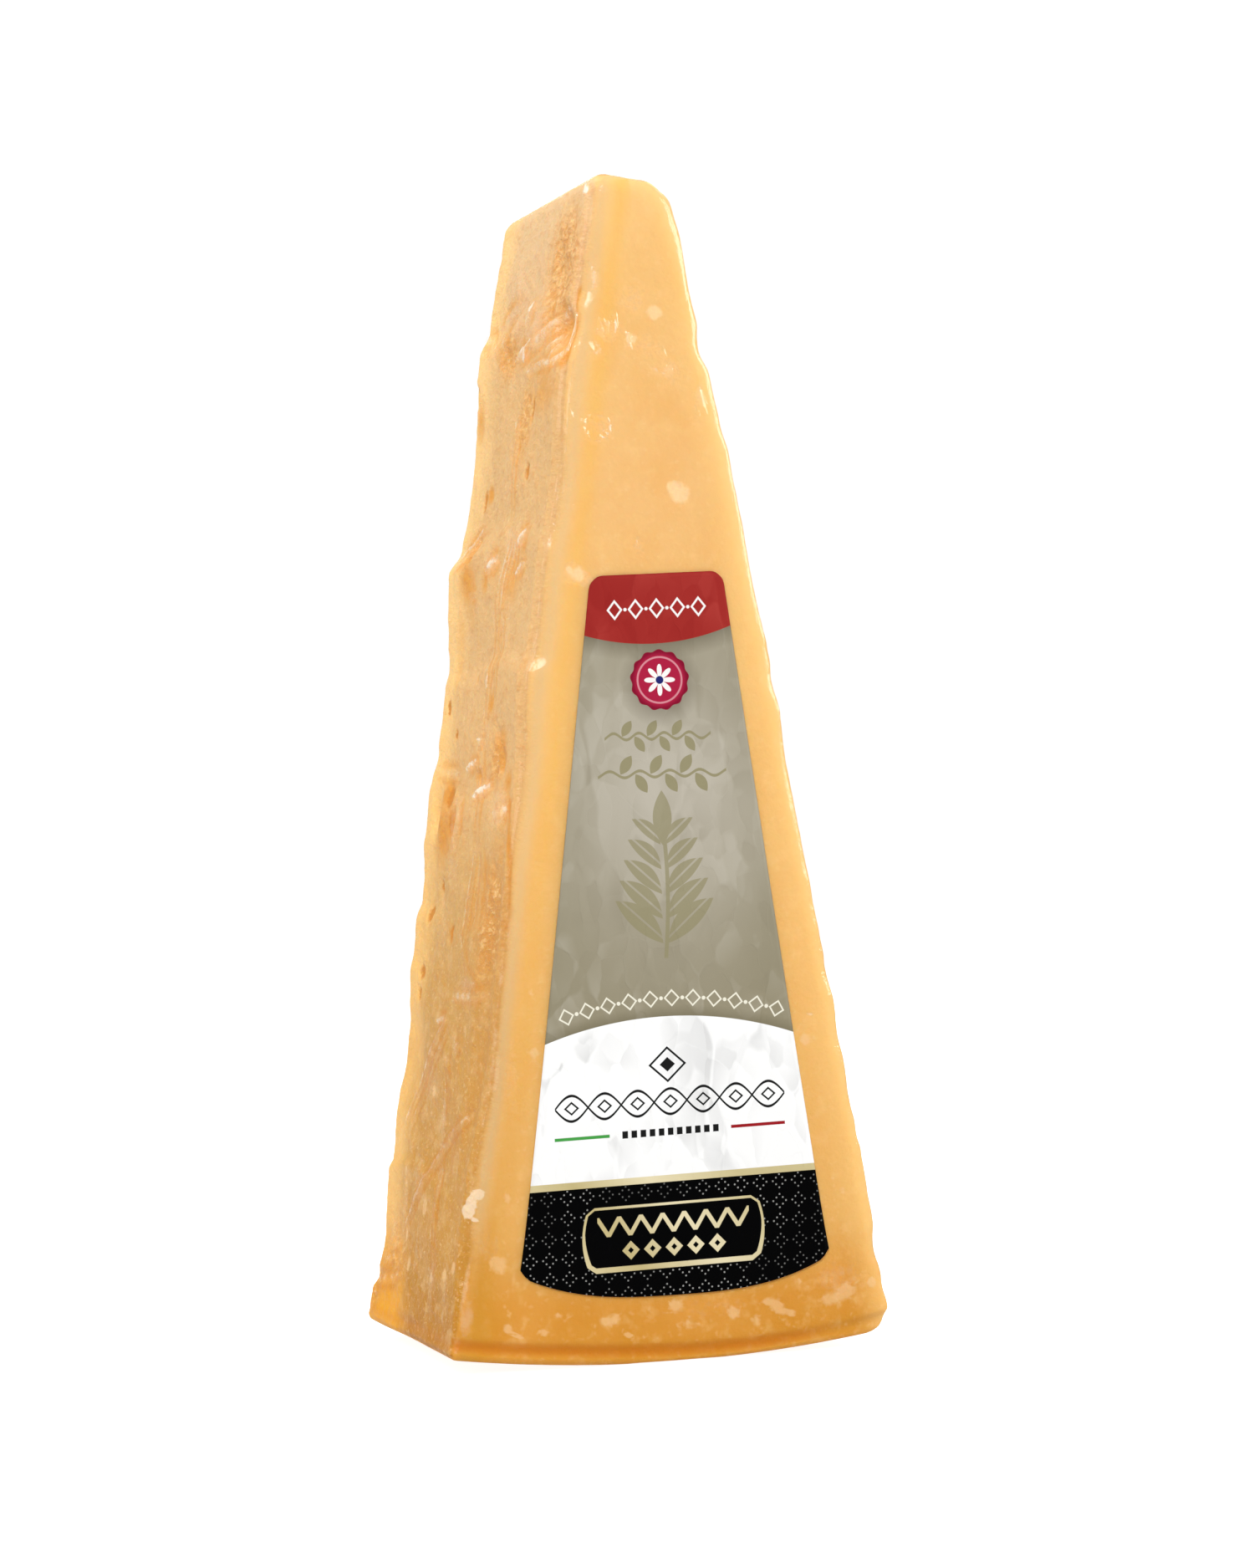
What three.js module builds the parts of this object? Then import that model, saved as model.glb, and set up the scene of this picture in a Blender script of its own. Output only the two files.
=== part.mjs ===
// A tall wedge of hard, aged cheese in a tight clear wrap, standing on its rind, with a paper label on
// its front. Millimetres, +Z up, front towards -Y, origin on the ground under the middle of the rind.
// The wedge is a thin sector of a round wheel: the rind is the wheel's round side, the left and right
// faces are broken along two radii, and the top is where the wheel's hard middle was snapped off.
import * as THREE from 'three';
import { mergeVertices } from 'three/addons/utils/BufferGeometryUtils.js';

// The wheel and the sector cut from it
const wheelRadius = 200;
const halfAngle = THREE.MathUtils.degToRad(9.1);
const wedgeDepth = 52.75;
const rayLength = 164;
const restingFlat = 18;

// The broken tip slopes down to the right and is slightly crowned
const tipFall = 0.8;
const tipCrown = 0.4;

// Rounding of the wrapped edges: the front left one is the roundest of the four upright edges
const frontLeftRadius = 4;
const otherEdgeRadius = 2.6;
const rindEdgeRadius = 1.3;
const rindRightRadius = 4.4;
const tipLeftRadius = 2.8;
const tipRightRadius = 3.6;
const rindBlend = [3, 14];
const tipBlend = [16, 4];
const rindCornerBlend = [12, 30];
const tipCornerBlend = [-4, 4];

// How far the broken faces and the rind's lip stand outside the two radii. The faces come back to
// the radii over the tip, and their breaks die away towards the middle of the wedge.
const leftSwell = 0.4;
const rightSwell = 0.2;
const lipSwell = 0.6;
const lipHeight = 4;
const tipFade = 14;
const sideFadePower = 3;

// The groove that runs just above the rind: how high, half its width, and how deep at the front and
// back, and the share of that at the two broken faces
const grooveHeight = 2.5;
const grooveHalfWidth = 1.6;
const grooveDepth = 0.55;
const grooveSideShare = 0.5;

// The label: a tapering strip with two round top corners and a bowed foot
const labelThickness = 0.2;
const labelTop = 108.2;
const labelFoot = 8.9;
const labelTopHalfWidth = 9.35;
const labelFootHalfWidth = 22.1;
const labelFootRise = 4.2;
const labelCornerRadius = 1.8;
const labelCentre = 0.8;
const labelLean = THREE.MathUtils.degToRad(0.55);

// Grid of the wedge's skin: cells across, through and up. An upright edge, and the rind and tip ends,
// take this many of them over this length.
const cellsAcross = 12;
const cellsThrough = 18;
const cellsUp = 60;
const cellsInEdge = 3;
const edgeLength = 3.5;
const cellsInEnd = 5;
const endLength = 4.5;
const weldDistance = 1e-4;

// Ledges of a broken face. Below its height the face stands out, then falls back over its fade. It
// stands out by one amount at the back edge and another at the front edge. Sway makes the ledge
// climb and dip on its way across, by a wave of this length.
const swayLength = 53;
const leftLedges = [
  { height: 147.2, out: 1.25, atFront: 0.5, rise: 3.5, fade: 24, sway: 2.2 },
  { height: 115.2, out: 2.1, atFront: 0.3, rise: 4, fade: 19, sway: 1.8 },
  { height: 97, out: 0.6, atFront: 0.9, rise: 3, fade: 18, sway: 1.2 },
  { height: 80, out: 1, atFront: 0.3, rise: 6, fade: 22, sway: 2.4 },
  { height: 61.5, out: 0.8, atFront: 0, rise: 3, fade: 26, sway: 1 },
  { height: 25.4, out: 0.7, atFront: 0, rise: 1.6, fade: 12, sway: 1.4 },
];
const rightLedges = [
  { height: 133.8, out: 0.8, atFront: 1.1, rise: 5, fade: 160, sway: 1.5 },
  { height: 97, out: 0.5, atFront: 0.6, rise: 3, fade: 20, sway: 1.6 },
  { height: 58, out: 0.6, atFront: 0.7, rise: 4, fade: 22, sway: 1.8 },
  { height: 33, out: 0.4, atFront: 0.3, rise: 3, fade: 14, sway: 1.2 },
];

// Hollows where a flake broke away: height and depth place of the middle, half sizes, and how deep
const leftHollows = [
  { height: 142.9, place: -21.5, tall: 5.2, wide: 5, deep: 1.7 },
  { height: 152.5, place: -13, tall: 7, wide: 7, deep: 0.5 },
  { height: 77, place: 18.5, tall: 5, wide: 3.4, deep: 0.9 },
  { height: 52, place: -21, tall: 38, wide: 6, deep: 0.8 },
  { height: 42, place: 20, tall: 9, wide: 12, deep: 0.6 },
  { height: 15.5, place: 21, tall: 5.5, wide: 12, deep: 0.7 },
];
const rightHollows = [
  { height: 138.5, place: -17, tall: 4, wide: 12, deep: 0.6 },
  { height: 104, place: 9, tall: 6, wide: 6, deep: 1.2 },
  { height: 66, place: 15, tall: 8, wide: 6, deep: 1 },
  { height: 47, place: -6, tall: 7, wide: 9, deep: 0.7 },
  { height: 16, place: -14, tall: 3.4, wide: 14, deep: 0.6 },
];

// Long shallow waves where the break follows the grain: how high, how far apart up the face and
// through the wedge, and where they start
const grainWaves = [
  { out: 0.22, apart: 38, acrossApart: 63, start: 0 },
  { out: 0.14, apart: 21, acrossApart: -35, start: 1.3 },
];
const rightGrainShift = 80;

const halfDepth = wedgeDepth / 2;
const flatDrop = wheelRadius - Math.sqrt(wheelRadius ** 2 - (restingFlat / 2) ** 2);
const wheelCentreHeight = wheelRadius - flatDrop;

const fullTurn = 2 * Math.PI;

const { clamp, lerp, smoothstep } = THREE.MathUtils;

// A round bump of height 1 that ends at distance 1
function bump(distance) {
  const inside = Math.max(0, 1 - distance * distance);
  return inside * inside;
}

// Moves an even spacing of -1 to 1 so that the outer share of it fills only the outer length
function crowdEnds(even, share, length) {
  const fromEnd = 1 - Math.abs(even);
  const inEnd = (fromEnd / share) * length;
  const inMiddle = length + ((fromEnd - share) / (1 - share)) * (1 - length);
  return Math.sign(even) * (1 - (fromEnd < share ? inEnd : inMiddle));
}

// How far one ledge pushes the face out at a height and a place through the wedge
function ledgeOffset(ledge, height, place) {
  const sway = ledge.sway * Math.sin((fullTurn * place) / swayLength + ledge.height);
  const below = ledge.height + sway - height;
  const risen = smoothstep(below, -ledge.rise / 2, ledge.rise / 2);
  const left = 1 - clamp(below / ledge.fade, 0, 1);
  const out = lerp(ledge.atFront, ledge.out, smoothstep(place, -halfDepth, halfDepth));
  return out * risen * left;
}

function hollowOffset(hollow, height, place) {
  const up = (height - hollow.height) / hollow.tall;
  const through = (place - hollow.place) / hollow.wide;
  return -hollow.deep * bump(Math.hypot(up, through));
}

function grainOffset(wave, height, place) {
  return wave.out * Math.sin(fullTurn * (height / wave.apart + place / wave.acrossApart) + wave.start);
}

// Outward offset of the left face (side -1) or the right face (side 1)
function brokenFace(side, height, place) {
  const ledges = side < 0 ? leftLedges : rightLedges;
  const hollows = side < 0 ? leftHollows : rightHollows;
  const grainHeight = side < 0 ? height : height + rightGrainShift;
  let offset = side < 0 ? leftSwell : rightSwell;
  for (const wave of grainWaves) offset += grainOffset(wave, grainHeight, place);
  for (const ledge of ledges) offset += ledgeOffset(ledge, height, place);
  for (const hollow of hollows) offset += hollowOffset(hollow, height, place);
  return offset;
}

// Radii of the rounding across, through and up the wedge, at a place on its skin. At the rind only the
// right corner is round, and only across and up.
function edgeRadii(across, through, ray) {
  const upright = across < 0 && through < 0 ? frontLeftRadius : otherEdgeRadius;
  const nearRind = lerp(rindEdgeRadius, rindRightRadius, smoothstep(across, ...rindCornerBlend));
  const nearTip = lerp(tipLeftRadius, tipRightRadius, smoothstep(across, ...tipCornerBlend));
  const aboveRind = smoothstep(ray, ...rindBlend);
  const belowTip = 1 - smoothstep(ray, rayLength - tipBlend[0], rayLength - tipBlend[1]);
  return new THREE.Vector3(
    lerp(nearTip, lerp(nearRind, upright, aboveRind), belowTip),
    lerp(nearTip, lerp(rindEdgeRadius, upright, aboveRind), belowTip),
    lerp(nearTip, lerp(nearRind, upright, aboveRind), belowTip),
  );
}

// Takes a point of the cube from -1 to 1 to its place on the wedge
function placeOnWedge(point) {
  const upEven = crowdEnds(point.z, cellsInEnd / (cellsUp / 2), endLength / (rayLength / 2));
  const endRay = rayLength - (point.x * tipFall + point.x ** 2 * tipCrown);
  const ray = (upEven + 1) / 2 * endRay;
  const halfAcross = (wheelRadius - ray) * halfAngle;
  const acrossShare = cellsInEdge / (cellsAcross / 2);
  const throughShare = cellsInEdge / (cellsThrough / 2);
  const across = halfAcross * crowdEnds(point.x, acrossShare, edgeLength / halfAcross);
  const through = halfDepth * crowdEnds(point.y, throughShare, edgeLength / halfDepth);

  // Round the edges: the skin lies one radius outside an inner block
  const radii = edgeRadii(across, through, ray);
  const inner = new THREE.Vector3(
    clamp(across, radii.x - halfAcross, halfAcross - radii.x),
    clamp(through, radii.y - halfDepth, halfDepth - radii.y),
    clamp(ray, radii.z, endRay - radii.z),
  );
  const outward = new THREE.Vector3(across, through, ray).sub(inner).divide(radii).normalize();
  const rounded = inner.add(outward.multiply(radii));

  // Bend the block into the sector
  const angle = rounded.x / (wheelRadius - ray);
  const reach = wheelRadius - rounded.z;
  const place = new THREE.Vector3(
    reach * Math.sin(angle), rounded.y, wheelCentreHeight - reach * Math.cos(angle),
  );

  // Break the two radial faces, leaving the front and back flat
  const side = Math.sign(across);
  const sideShare = Math.abs(across / halfAcross) ** sideFadePower;
  const broken = smoothstep(rayLength - rounded.z, 0, tipFade) * brokenFace(side, place.z, place.y);
  place.x += side * sideShare * lerp(lipSwell, broken, smoothstep(rounded.z, grooveHeight, lipHeight));

  // Press the groove in all round
  const groove = grooveDepth * bump((rounded.z - grooveHeight) / grooveHalfWidth);
  const frontShare = smoothstep(Math.abs(through), halfDepth - 2 * edgeLength, halfDepth);
  place.y -= Math.sign(through) * frontShare * groove;
  place.x -= side * sideShare * grooveSideShare * groove;

  place.z = Math.max(place.z, 0);
  return place;
}

// Moves every corner of a geometry by a function, and welds it into one closed skin
function moveCorners(geometry, move) {
  const corners = geometry.attributes.position;
  const corner = new THREE.Vector3();
  for (let index = 0; index < corners.count; index += 1) {
    const moved = move(corner.fromBufferAttribute(corners, index));
    corners.setXYZ(index, moved.x, moved.y, moved.z);
  }
  geometry.deleteAttribute('normal');
  geometry.deleteAttribute('uv');
  const welded = mergeVertices(geometry, weldDistance);
  welded.computeVertexNormals();
  return welded;
}

function makeWrappedWedge() {
  const block = new THREE.BoxGeometry(2, 2, 2, cellsAcross, cellsThrough, cellsUp);
  const material = new THREE.MeshStandardMaterial({ color: 0xf6bd70, roughness: 0.32, metalness: 0 });
  const wedge = new THREE.Mesh(moveCorners(block, placeOnWedge), material);
  wedge.name = 'wrapped_wedge';
  return wedge;
}

// The label's outline, seen from the front, with its foot's lowest point at the origin
function labelOutline() {
  const tall = labelTop - labelFoot;
  const footRadius = (labelFootHalfWidth ** 2 + labelFootRise ** 2) / (2 * labelFootRise);
  const footAngle = Math.asin(labelFootHalfWidth / footRadius);
  const lean = (labelFootHalfWidth - labelTopHalfWidth) / (tall - labelFootRise);
  const cornerDown = new THREE.Vector2(lean, -1).setLength(labelCornerRadius);
  const outline = new THREE.Shape();
  outline.absarc(0, footRadius, footRadius, -Math.PI / 2 - footAngle, -Math.PI / 2 + footAngle, false);
  outline.lineTo(labelTopHalfWidth + cornerDown.x, tall + cornerDown.y);
  outline.quadraticCurveTo(labelTopHalfWidth, tall, labelTopHalfWidth - labelCornerRadius, tall);
  outline.lineTo(labelCornerRadius - labelTopHalfWidth, tall);
  outline.quadraticCurveTo(-labelTopHalfWidth, tall, -labelTopHalfWidth - cornerDown.x, tall + cornerDown.y);
  outline.closePath();
  return outline;
}

function makeLabel() {
  const options = { depth: labelThickness, bevelEnabled: false, curveSegments: 24 };
  const sheet = new THREE.ExtrudeGeometry(labelOutline(), options);
  const material = new THREE.MeshStandardMaterial({ color: 0xaaa28f, roughness: 0.45, metalness: 0 });
  sheet.rotateZ(-labelLean);
  sheet.rotateX(Math.PI / 2);
  sheet.translate(labelCentre, -halfDepth, labelFoot);
  const label = new THREE.Mesh(sheet, material);
  label.name = 'label';
  return label;
}

const group = new THREE.Group();
group.add(makeWrappedWedge(), makeLabel());

export default group;
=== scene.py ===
"""A tall wedge of hard, aged cheese in a tight clear film, with a creased paper label on its front.

Sizes are in millimetres until a mesh is made. The cheese and the film share one lattice, so the film
stays outside the cheese everywhere. Fine relief is added to the form that the frame's solid has.
"""
import math

import bpy
import numpy as np
from mathutils import Matrix, Vector


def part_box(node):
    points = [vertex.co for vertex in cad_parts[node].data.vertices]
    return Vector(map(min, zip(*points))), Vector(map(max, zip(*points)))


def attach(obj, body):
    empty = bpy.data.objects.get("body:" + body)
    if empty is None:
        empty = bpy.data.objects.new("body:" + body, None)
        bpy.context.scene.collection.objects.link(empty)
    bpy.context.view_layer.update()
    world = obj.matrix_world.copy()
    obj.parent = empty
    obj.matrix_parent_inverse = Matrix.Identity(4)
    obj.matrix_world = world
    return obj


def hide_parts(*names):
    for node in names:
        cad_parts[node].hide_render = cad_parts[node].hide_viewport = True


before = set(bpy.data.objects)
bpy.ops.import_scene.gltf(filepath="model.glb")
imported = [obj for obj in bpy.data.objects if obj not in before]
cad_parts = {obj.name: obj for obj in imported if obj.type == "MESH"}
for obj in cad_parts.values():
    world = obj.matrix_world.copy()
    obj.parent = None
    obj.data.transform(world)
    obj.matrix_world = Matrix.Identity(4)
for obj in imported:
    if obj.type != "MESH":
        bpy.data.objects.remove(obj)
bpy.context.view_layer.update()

MM = 0.001

# Form of the wedge, as in the solid
wedge_low, wedge_high = (np.array(corner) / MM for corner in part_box("wrapped_wedge"))
label_low, label_high = (np.array(corner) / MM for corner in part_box("label"))
HALF_DEPTH = (wedge_high[1] - wedge_low[1]) / 2
WHEEL_RADIUS = 200.0
HALF_ANGLE = math.radians(9.1)
RAY_LENGTH = 164.0
RESTING_FLAT = 18.0
TIP_FALL, TIP_CROWN = 0.8, 0.4
FRONT_LEFT_RADIUS, OTHER_EDGE_RADIUS = 4.0, 2.6
RIND_EDGE_RADIUS, RIND_RIGHT_RADIUS = 1.3, 4.4
TIP_LEFT_RADIUS, TIP_RIGHT_RADIUS = 2.8, 3.6
LEFT_SWELL, RIGHT_SWELL, LIP_SWELL, LIP_FILL = 0.4, 0.45, 0.6, 0.55
LIP_HEIGHT, TIP_FADE, SIDE_FADE_POWER = 4.0, 14.0, 3
GROOVE_LEFT_HEIGHT, GROOVE_RIGHT_HEIGHT, GROOVE_HALF_WIDTH = 2.25, 1.75, 1.25
GROOVE_DEPTH, GROOVE_SIDE_SHARE = 0.42, 0.5
SWAY_LENGTH = 53.0
# Spans across, through or up the wedge over which its form changes evenly
RIND_EDGE_SPAN, TIP_EDGE_SPAN, GROOVE_FALL_SPAN = (12, 30), (-4, 4), (-18, 12)
BACK_SPAN, ABOVE_RIND_SPAN = (0, 20), (3, 14)
BELOW_TIP_SPAN = (RAY_LENGTH - 16, RAY_LENGTH - 4)
FACE_TURN = (0.35, 0.85)
WHEEL_CENTRE = math.sqrt(WHEEL_RADIUS**2 - (RESTING_FLAT / 2) ** 2)

# Ledges: height, how far out at the back edge and at the front edge, rise, fade, sway
LEFT_LEDGES = (
    (147.2, 1.25, 0.5, 3.5, 24, 2.2),
    (115.2, 2.1, 0.3, 4, 19, 1.8),
    (97, 0.6, 0.9, 3, 18, 1.2),
    (80, 1, 0.3, 6, 22, 2.4),
    (61.5, 0.8, 0, 3, 26, 1),
    (25.4, 0.7, 0, 1.6, 12, 1.4),
)
RIGHT_LEDGES = (
    (133.8, 0.8, 1.1, 5, 160, 1.5),
    (97, 0.5, 0.6, 3, 20, 1.6),
    (58, 0.6, 0.7, 4, 22, 1.8),
    (33, 0.4, 0.3, 3, 14, 1.2),
)

# Hollows: height, place through the wedge, half height, half width, depth
LEFT_HOLLOWS = (
    (142.9, -21.5, 5.2, 5, 1.7),
    (152.5, -13, 7, 7, 0.5),
    (77, 18.5, 5, 3.4, 0.9),
    (52, -21, 38, 6, 0.8),
    (42, 20, 9, 12, 0.6),
    (15.5, 21, 5.5, 12, 0.7),
)
# Small swellings at the back edge of the left face and the front edge of the right face, in the
# same form. Where the last number is below 0, the face falls back
LEFT_FILLS = (
    (7, 27, 6, 13, 0.9), (16.5, 27, 3.5, 12, 0.6), (88, 27, 5, 10, 0.5), (53, 27, 3.5, 10, 0.5),
    (43.5, 27, 3.5, 10, 0.35), (116, 27, 3, 10, 0.3), (13.2, 27, 2.6, 12, 0.5), (9, 27, 1.8, 12, -0.6),
    (49, 27, 3.5, 10, 0.3), (100, 27, 6, 10, -0.3), (72, 27, 3, 10, 0.4), (92, 27, 2.5, 10, 0.3),
    (83.5, 27, 2.5, 10, 0.3), (143.5, 27, 6, 10, -0.25),
)
RIGHT_FILLS = (
    (140, -27, 3.6, 12, -0.75), (130, -27, 5, 12, -0.75), (94, -27, 5.2, 12, -0.95),
    (53.5, -27, 5.4, 12, -0.95), (13.3, -27, 4, 12, -0.85), (8.4, -27, 3.6, 12, -0.55),
    (39.5, -27, 4.5, 12, 0.35), (30, -27, 2.5, 12, -0.3), (157, -27, 9, 12, 0.45), (65, -27, 3, 12, 0.2),
)
RIGHT_HOLLOWS = (
    (138.5, -17, 4, 12, 0.6),
    (104, 9, 6, 6, 1.2),
    (66, 15, 8, 6, 1),
    (47, -6, 7, 9, 0.7),
    (16, -14, 3.4, 14, 0.6),
)

# Grain waves: out, apart up the face, apart through the wedge, start
GRAIN_WAVES = ((0.22, 38, 63, 0), (0.14, 21, -35, 1.3))
RIGHT_GRAIN_SHIFT = 80

# Relief of the film, and the size of the noise that shapes it
WOBBLE, WOBBLE_SIZE = 0.35, 3.6
PULL, PULL_SIZE = 0.03, (2.2, 2.2, 26)
PUCKER, CUT_PUCKER, PUCKER_SIZE = 0.1, 0.025, (3.4, 3.4, 5)
VALLEY_SHARE, LOWEST_LIFT, LEAST_SHADED_LIFT = 0.35, -0.3, 0.15
# How far the cheese lies under the film: everywhere, where it broke, crumbled or was cut, and in
# its deep patches, pits and hollows
GAP, LEAST_GAP = 0.14, 0.08
BROKEN_GAP, BROKEN_CRUMBS, BROKEN_GRAIN = 0.16, 0.2, 0.16
CRUMBLY_GAP, CRUMBLY_CRUMBS, CUT_CRUMBS = 0.15, 0.45, 0.02
DEEP_GAP, PIT_DEPTH, HOLLOW_GAP = 0.15, 0.5, 0.25
CRUMB_SIZE, GRAIN_SIZE, UNEVEN_SIZE, CRUMBLY_SIZE = 2.4, 7, 5, 16
RIGHT_CRUMBLY, HOLLOW_SHADE, CHEESE_LOWEST = 0.7, 0.22, 0.05
# Places counted on round the front-left edge: where its creases and spots begin, how far the
# relief keeps off it, and the middle and width of its bands, at the foot and above it
EDGE_CREASES_START, SPOTS_START, CALM_MIDDLE, CALM_SPAN = (-9, -7), (-6, -4), -0.5, (2, 10)
BAND_MIDDLE, BAND_WIDTH, BAND_AT_FOOT = -1.9, 1.2, 0.2
BESIDE_MIDDLES, BESIDE_WIDTHS = (-2.8, -4.6), (2.4, 1.3)
FOOT_SPAN, PLAIN_SPAN, PLAIN_RIM = (12, 28), (30, 90), 4
# How far a face has turned up where the painted shade of the top shows, and where the painted shade of the
# groove fades, across
TOP_SHADE_TURN, GROOVE_SHADE_FADE_SPAN, GROOVE_SHADE_FADED = (0.8, 0.99), (14, 26), 0.1

# Lattice of the cheese and the film: cells across, through and up
CELLS = (48, 100, 290)
EDGE_LENGTH, END_LENGTH = 3.5, 4.5
EDGE_SHARES = (0.32, 0.17, 0.08)


def smoothstep(value, low, high):
    share = np.clip((value - low) / (high - low), 0, 1)
    return share * share * (3 - 2 * share)


def lerp(first, second, share):
    return first + (second - first) * share


def bump(distance):
    """A round bump of height 1 that ends at distance 1."""
    return np.maximum(0, 1 - distance**2) ** 2


def noise(points, size, seed):
    """Smooth noise from -1 to 1 with blobs of one size, or of one size for each axis."""
    table = np.random.default_rng(seed).uniform(-1, 1, (32, 32, 32))
    scaled = points / np.asarray(size, float)
    cell = np.floor(scaled).astype(int)
    inside = scaled - cell
    inside = inside * inside * (3 - 2 * inside)
    total = np.zeros(len(points))
    for corner in np.ndindex(2, 2, 2):
        index = (cell + corner) % 32
        weight = np.prod(np.where(corner, inside, 1 - inside), axis=1)
        total += weight * table[index[:, 0], index[:, 1], index[:, 2]]
    return total


def layered_noise(points, size, seed, layers=4):
    """Noise with finer and weaker layers added, still about -1 to 1."""
    total = sum(noise(points, np.asarray(size) / 2**k, seed + k) / 1.7**k for k in range(layers))
    return total / sum(1 / 1.7**k for k in range(layers))


def skin_lattice(cells):
    """Corners from -1 to 1 and quads of a box's skin, with the quads facing out."""
    quads = []
    strides = ((cells[1] + 1) * (cells[2] + 1), cells[2] + 1, 1)
    for axis in range(3):
        second, third = (axis + 1) % 3, (axis + 2) % 3
        one, two = np.meshgrid(np.arange(cells[second]), np.arange(cells[third]), indexing="ij")
        for end in (0, cells[axis]):
            start = end * strides[axis] + one * strides[second] + two * strides[third]
            quad = np.stack([
                start,
                start + strides[second],
                start + strides[second] + strides[third],
                start + strides[third],
            ], -1).reshape(-1, 4)
            quads.append(quad if end else quad[:, ::-1])
    quads = np.concatenate(quads)
    used, flat = np.unique(quads, return_inverse=True)
    index = np.stack(np.unravel_index(used, [count + 1 for count in cells]), -1)
    return 2 * index / np.array(cells) - 1, flat.reshape(-1, 4)


def crowd_ends(even, share, length):
    from_end = 1 - np.abs(even)
    in_end = from_end / share * length
    in_middle = length + (from_end - share) / (1 - share) * (1 - length)
    return np.sign(even) * (1 - np.where(from_end < share, in_end, in_middle))


def ledge_offset(ledge, height, place):
    top, at_back, at_front, rise, fade, sway = ledge
    below = top + sway * np.sin(math.tau * place / SWAY_LENGTH + top) - height
    risen = smoothstep(below, -rise / 2, rise / 2)
    left = 1 - np.clip(below / fade, 0, 1)
    return lerp(at_front, at_back, smoothstep(place, -HALF_DEPTH, HALF_DEPTH)) * risen * left


def hollow_depth(hollow, height, place):
    middle, centre, tall, wide, deep = hollow
    return deep * bump(np.hypot((height - middle) / tall, (place - centre) / wide))


def broken_face(side, height, place):
    """Outward offset of the left face (side -1) or the right face (side 1)."""
    grain_height = height if side < 0 else height + RIGHT_GRAIN_SHIFT
    offset = np.full_like(height, LEFT_SWELL if side < 0 else RIGHT_SWELL)
    for out, apart, across_apart, start in GRAIN_WAVES:
        offset += out * np.sin(math.tau * (grain_height / apart + place / across_apart) + start)
    for ledge in LEFT_LEDGES if side < 0 else RIGHT_LEDGES:
        offset += ledge_offset(ledge, height, place)
    for hollow in LEFT_HOLLOWS if side < 0 else RIGHT_HOLLOWS:
        offset -= hollow_depth(hollow, height, place)
    for fill in LEFT_FILLS if side < 0 else RIGHT_FILLS:
        offset += hollow_depth(fill, height, place)
    return offset


def edge_radii(across, through, ray):
    front_left = (across < 0) & (through < 0)
    upright = np.where(front_left, FRONT_LEFT_RADIUS, OTHER_EDGE_RADIUS)
    near_rind = lerp(RIND_EDGE_RADIUS, RIND_RIGHT_RADIUS, smoothstep(across, *RIND_EDGE_SPAN))
    near_tip = lerp(TIP_LEFT_RADIUS, TIP_RIGHT_RADIUS, smoothstep(across, *TIP_EDGE_SPAN))
    above_rind = smoothstep(ray, *ABOVE_RIND_SPAN)
    below_tip = 1 - smoothstep(ray, *BELOW_TIP_SPAN)
    sideways = lerp(near_tip, lerp(near_rind, upright, above_rind), below_tip)
    inwards = lerp(near_tip, lerp(RIND_EDGE_RADIUS, upright, above_rind), below_tip)
    return np.stack([sideways, inwards, sideways], -1)


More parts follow.
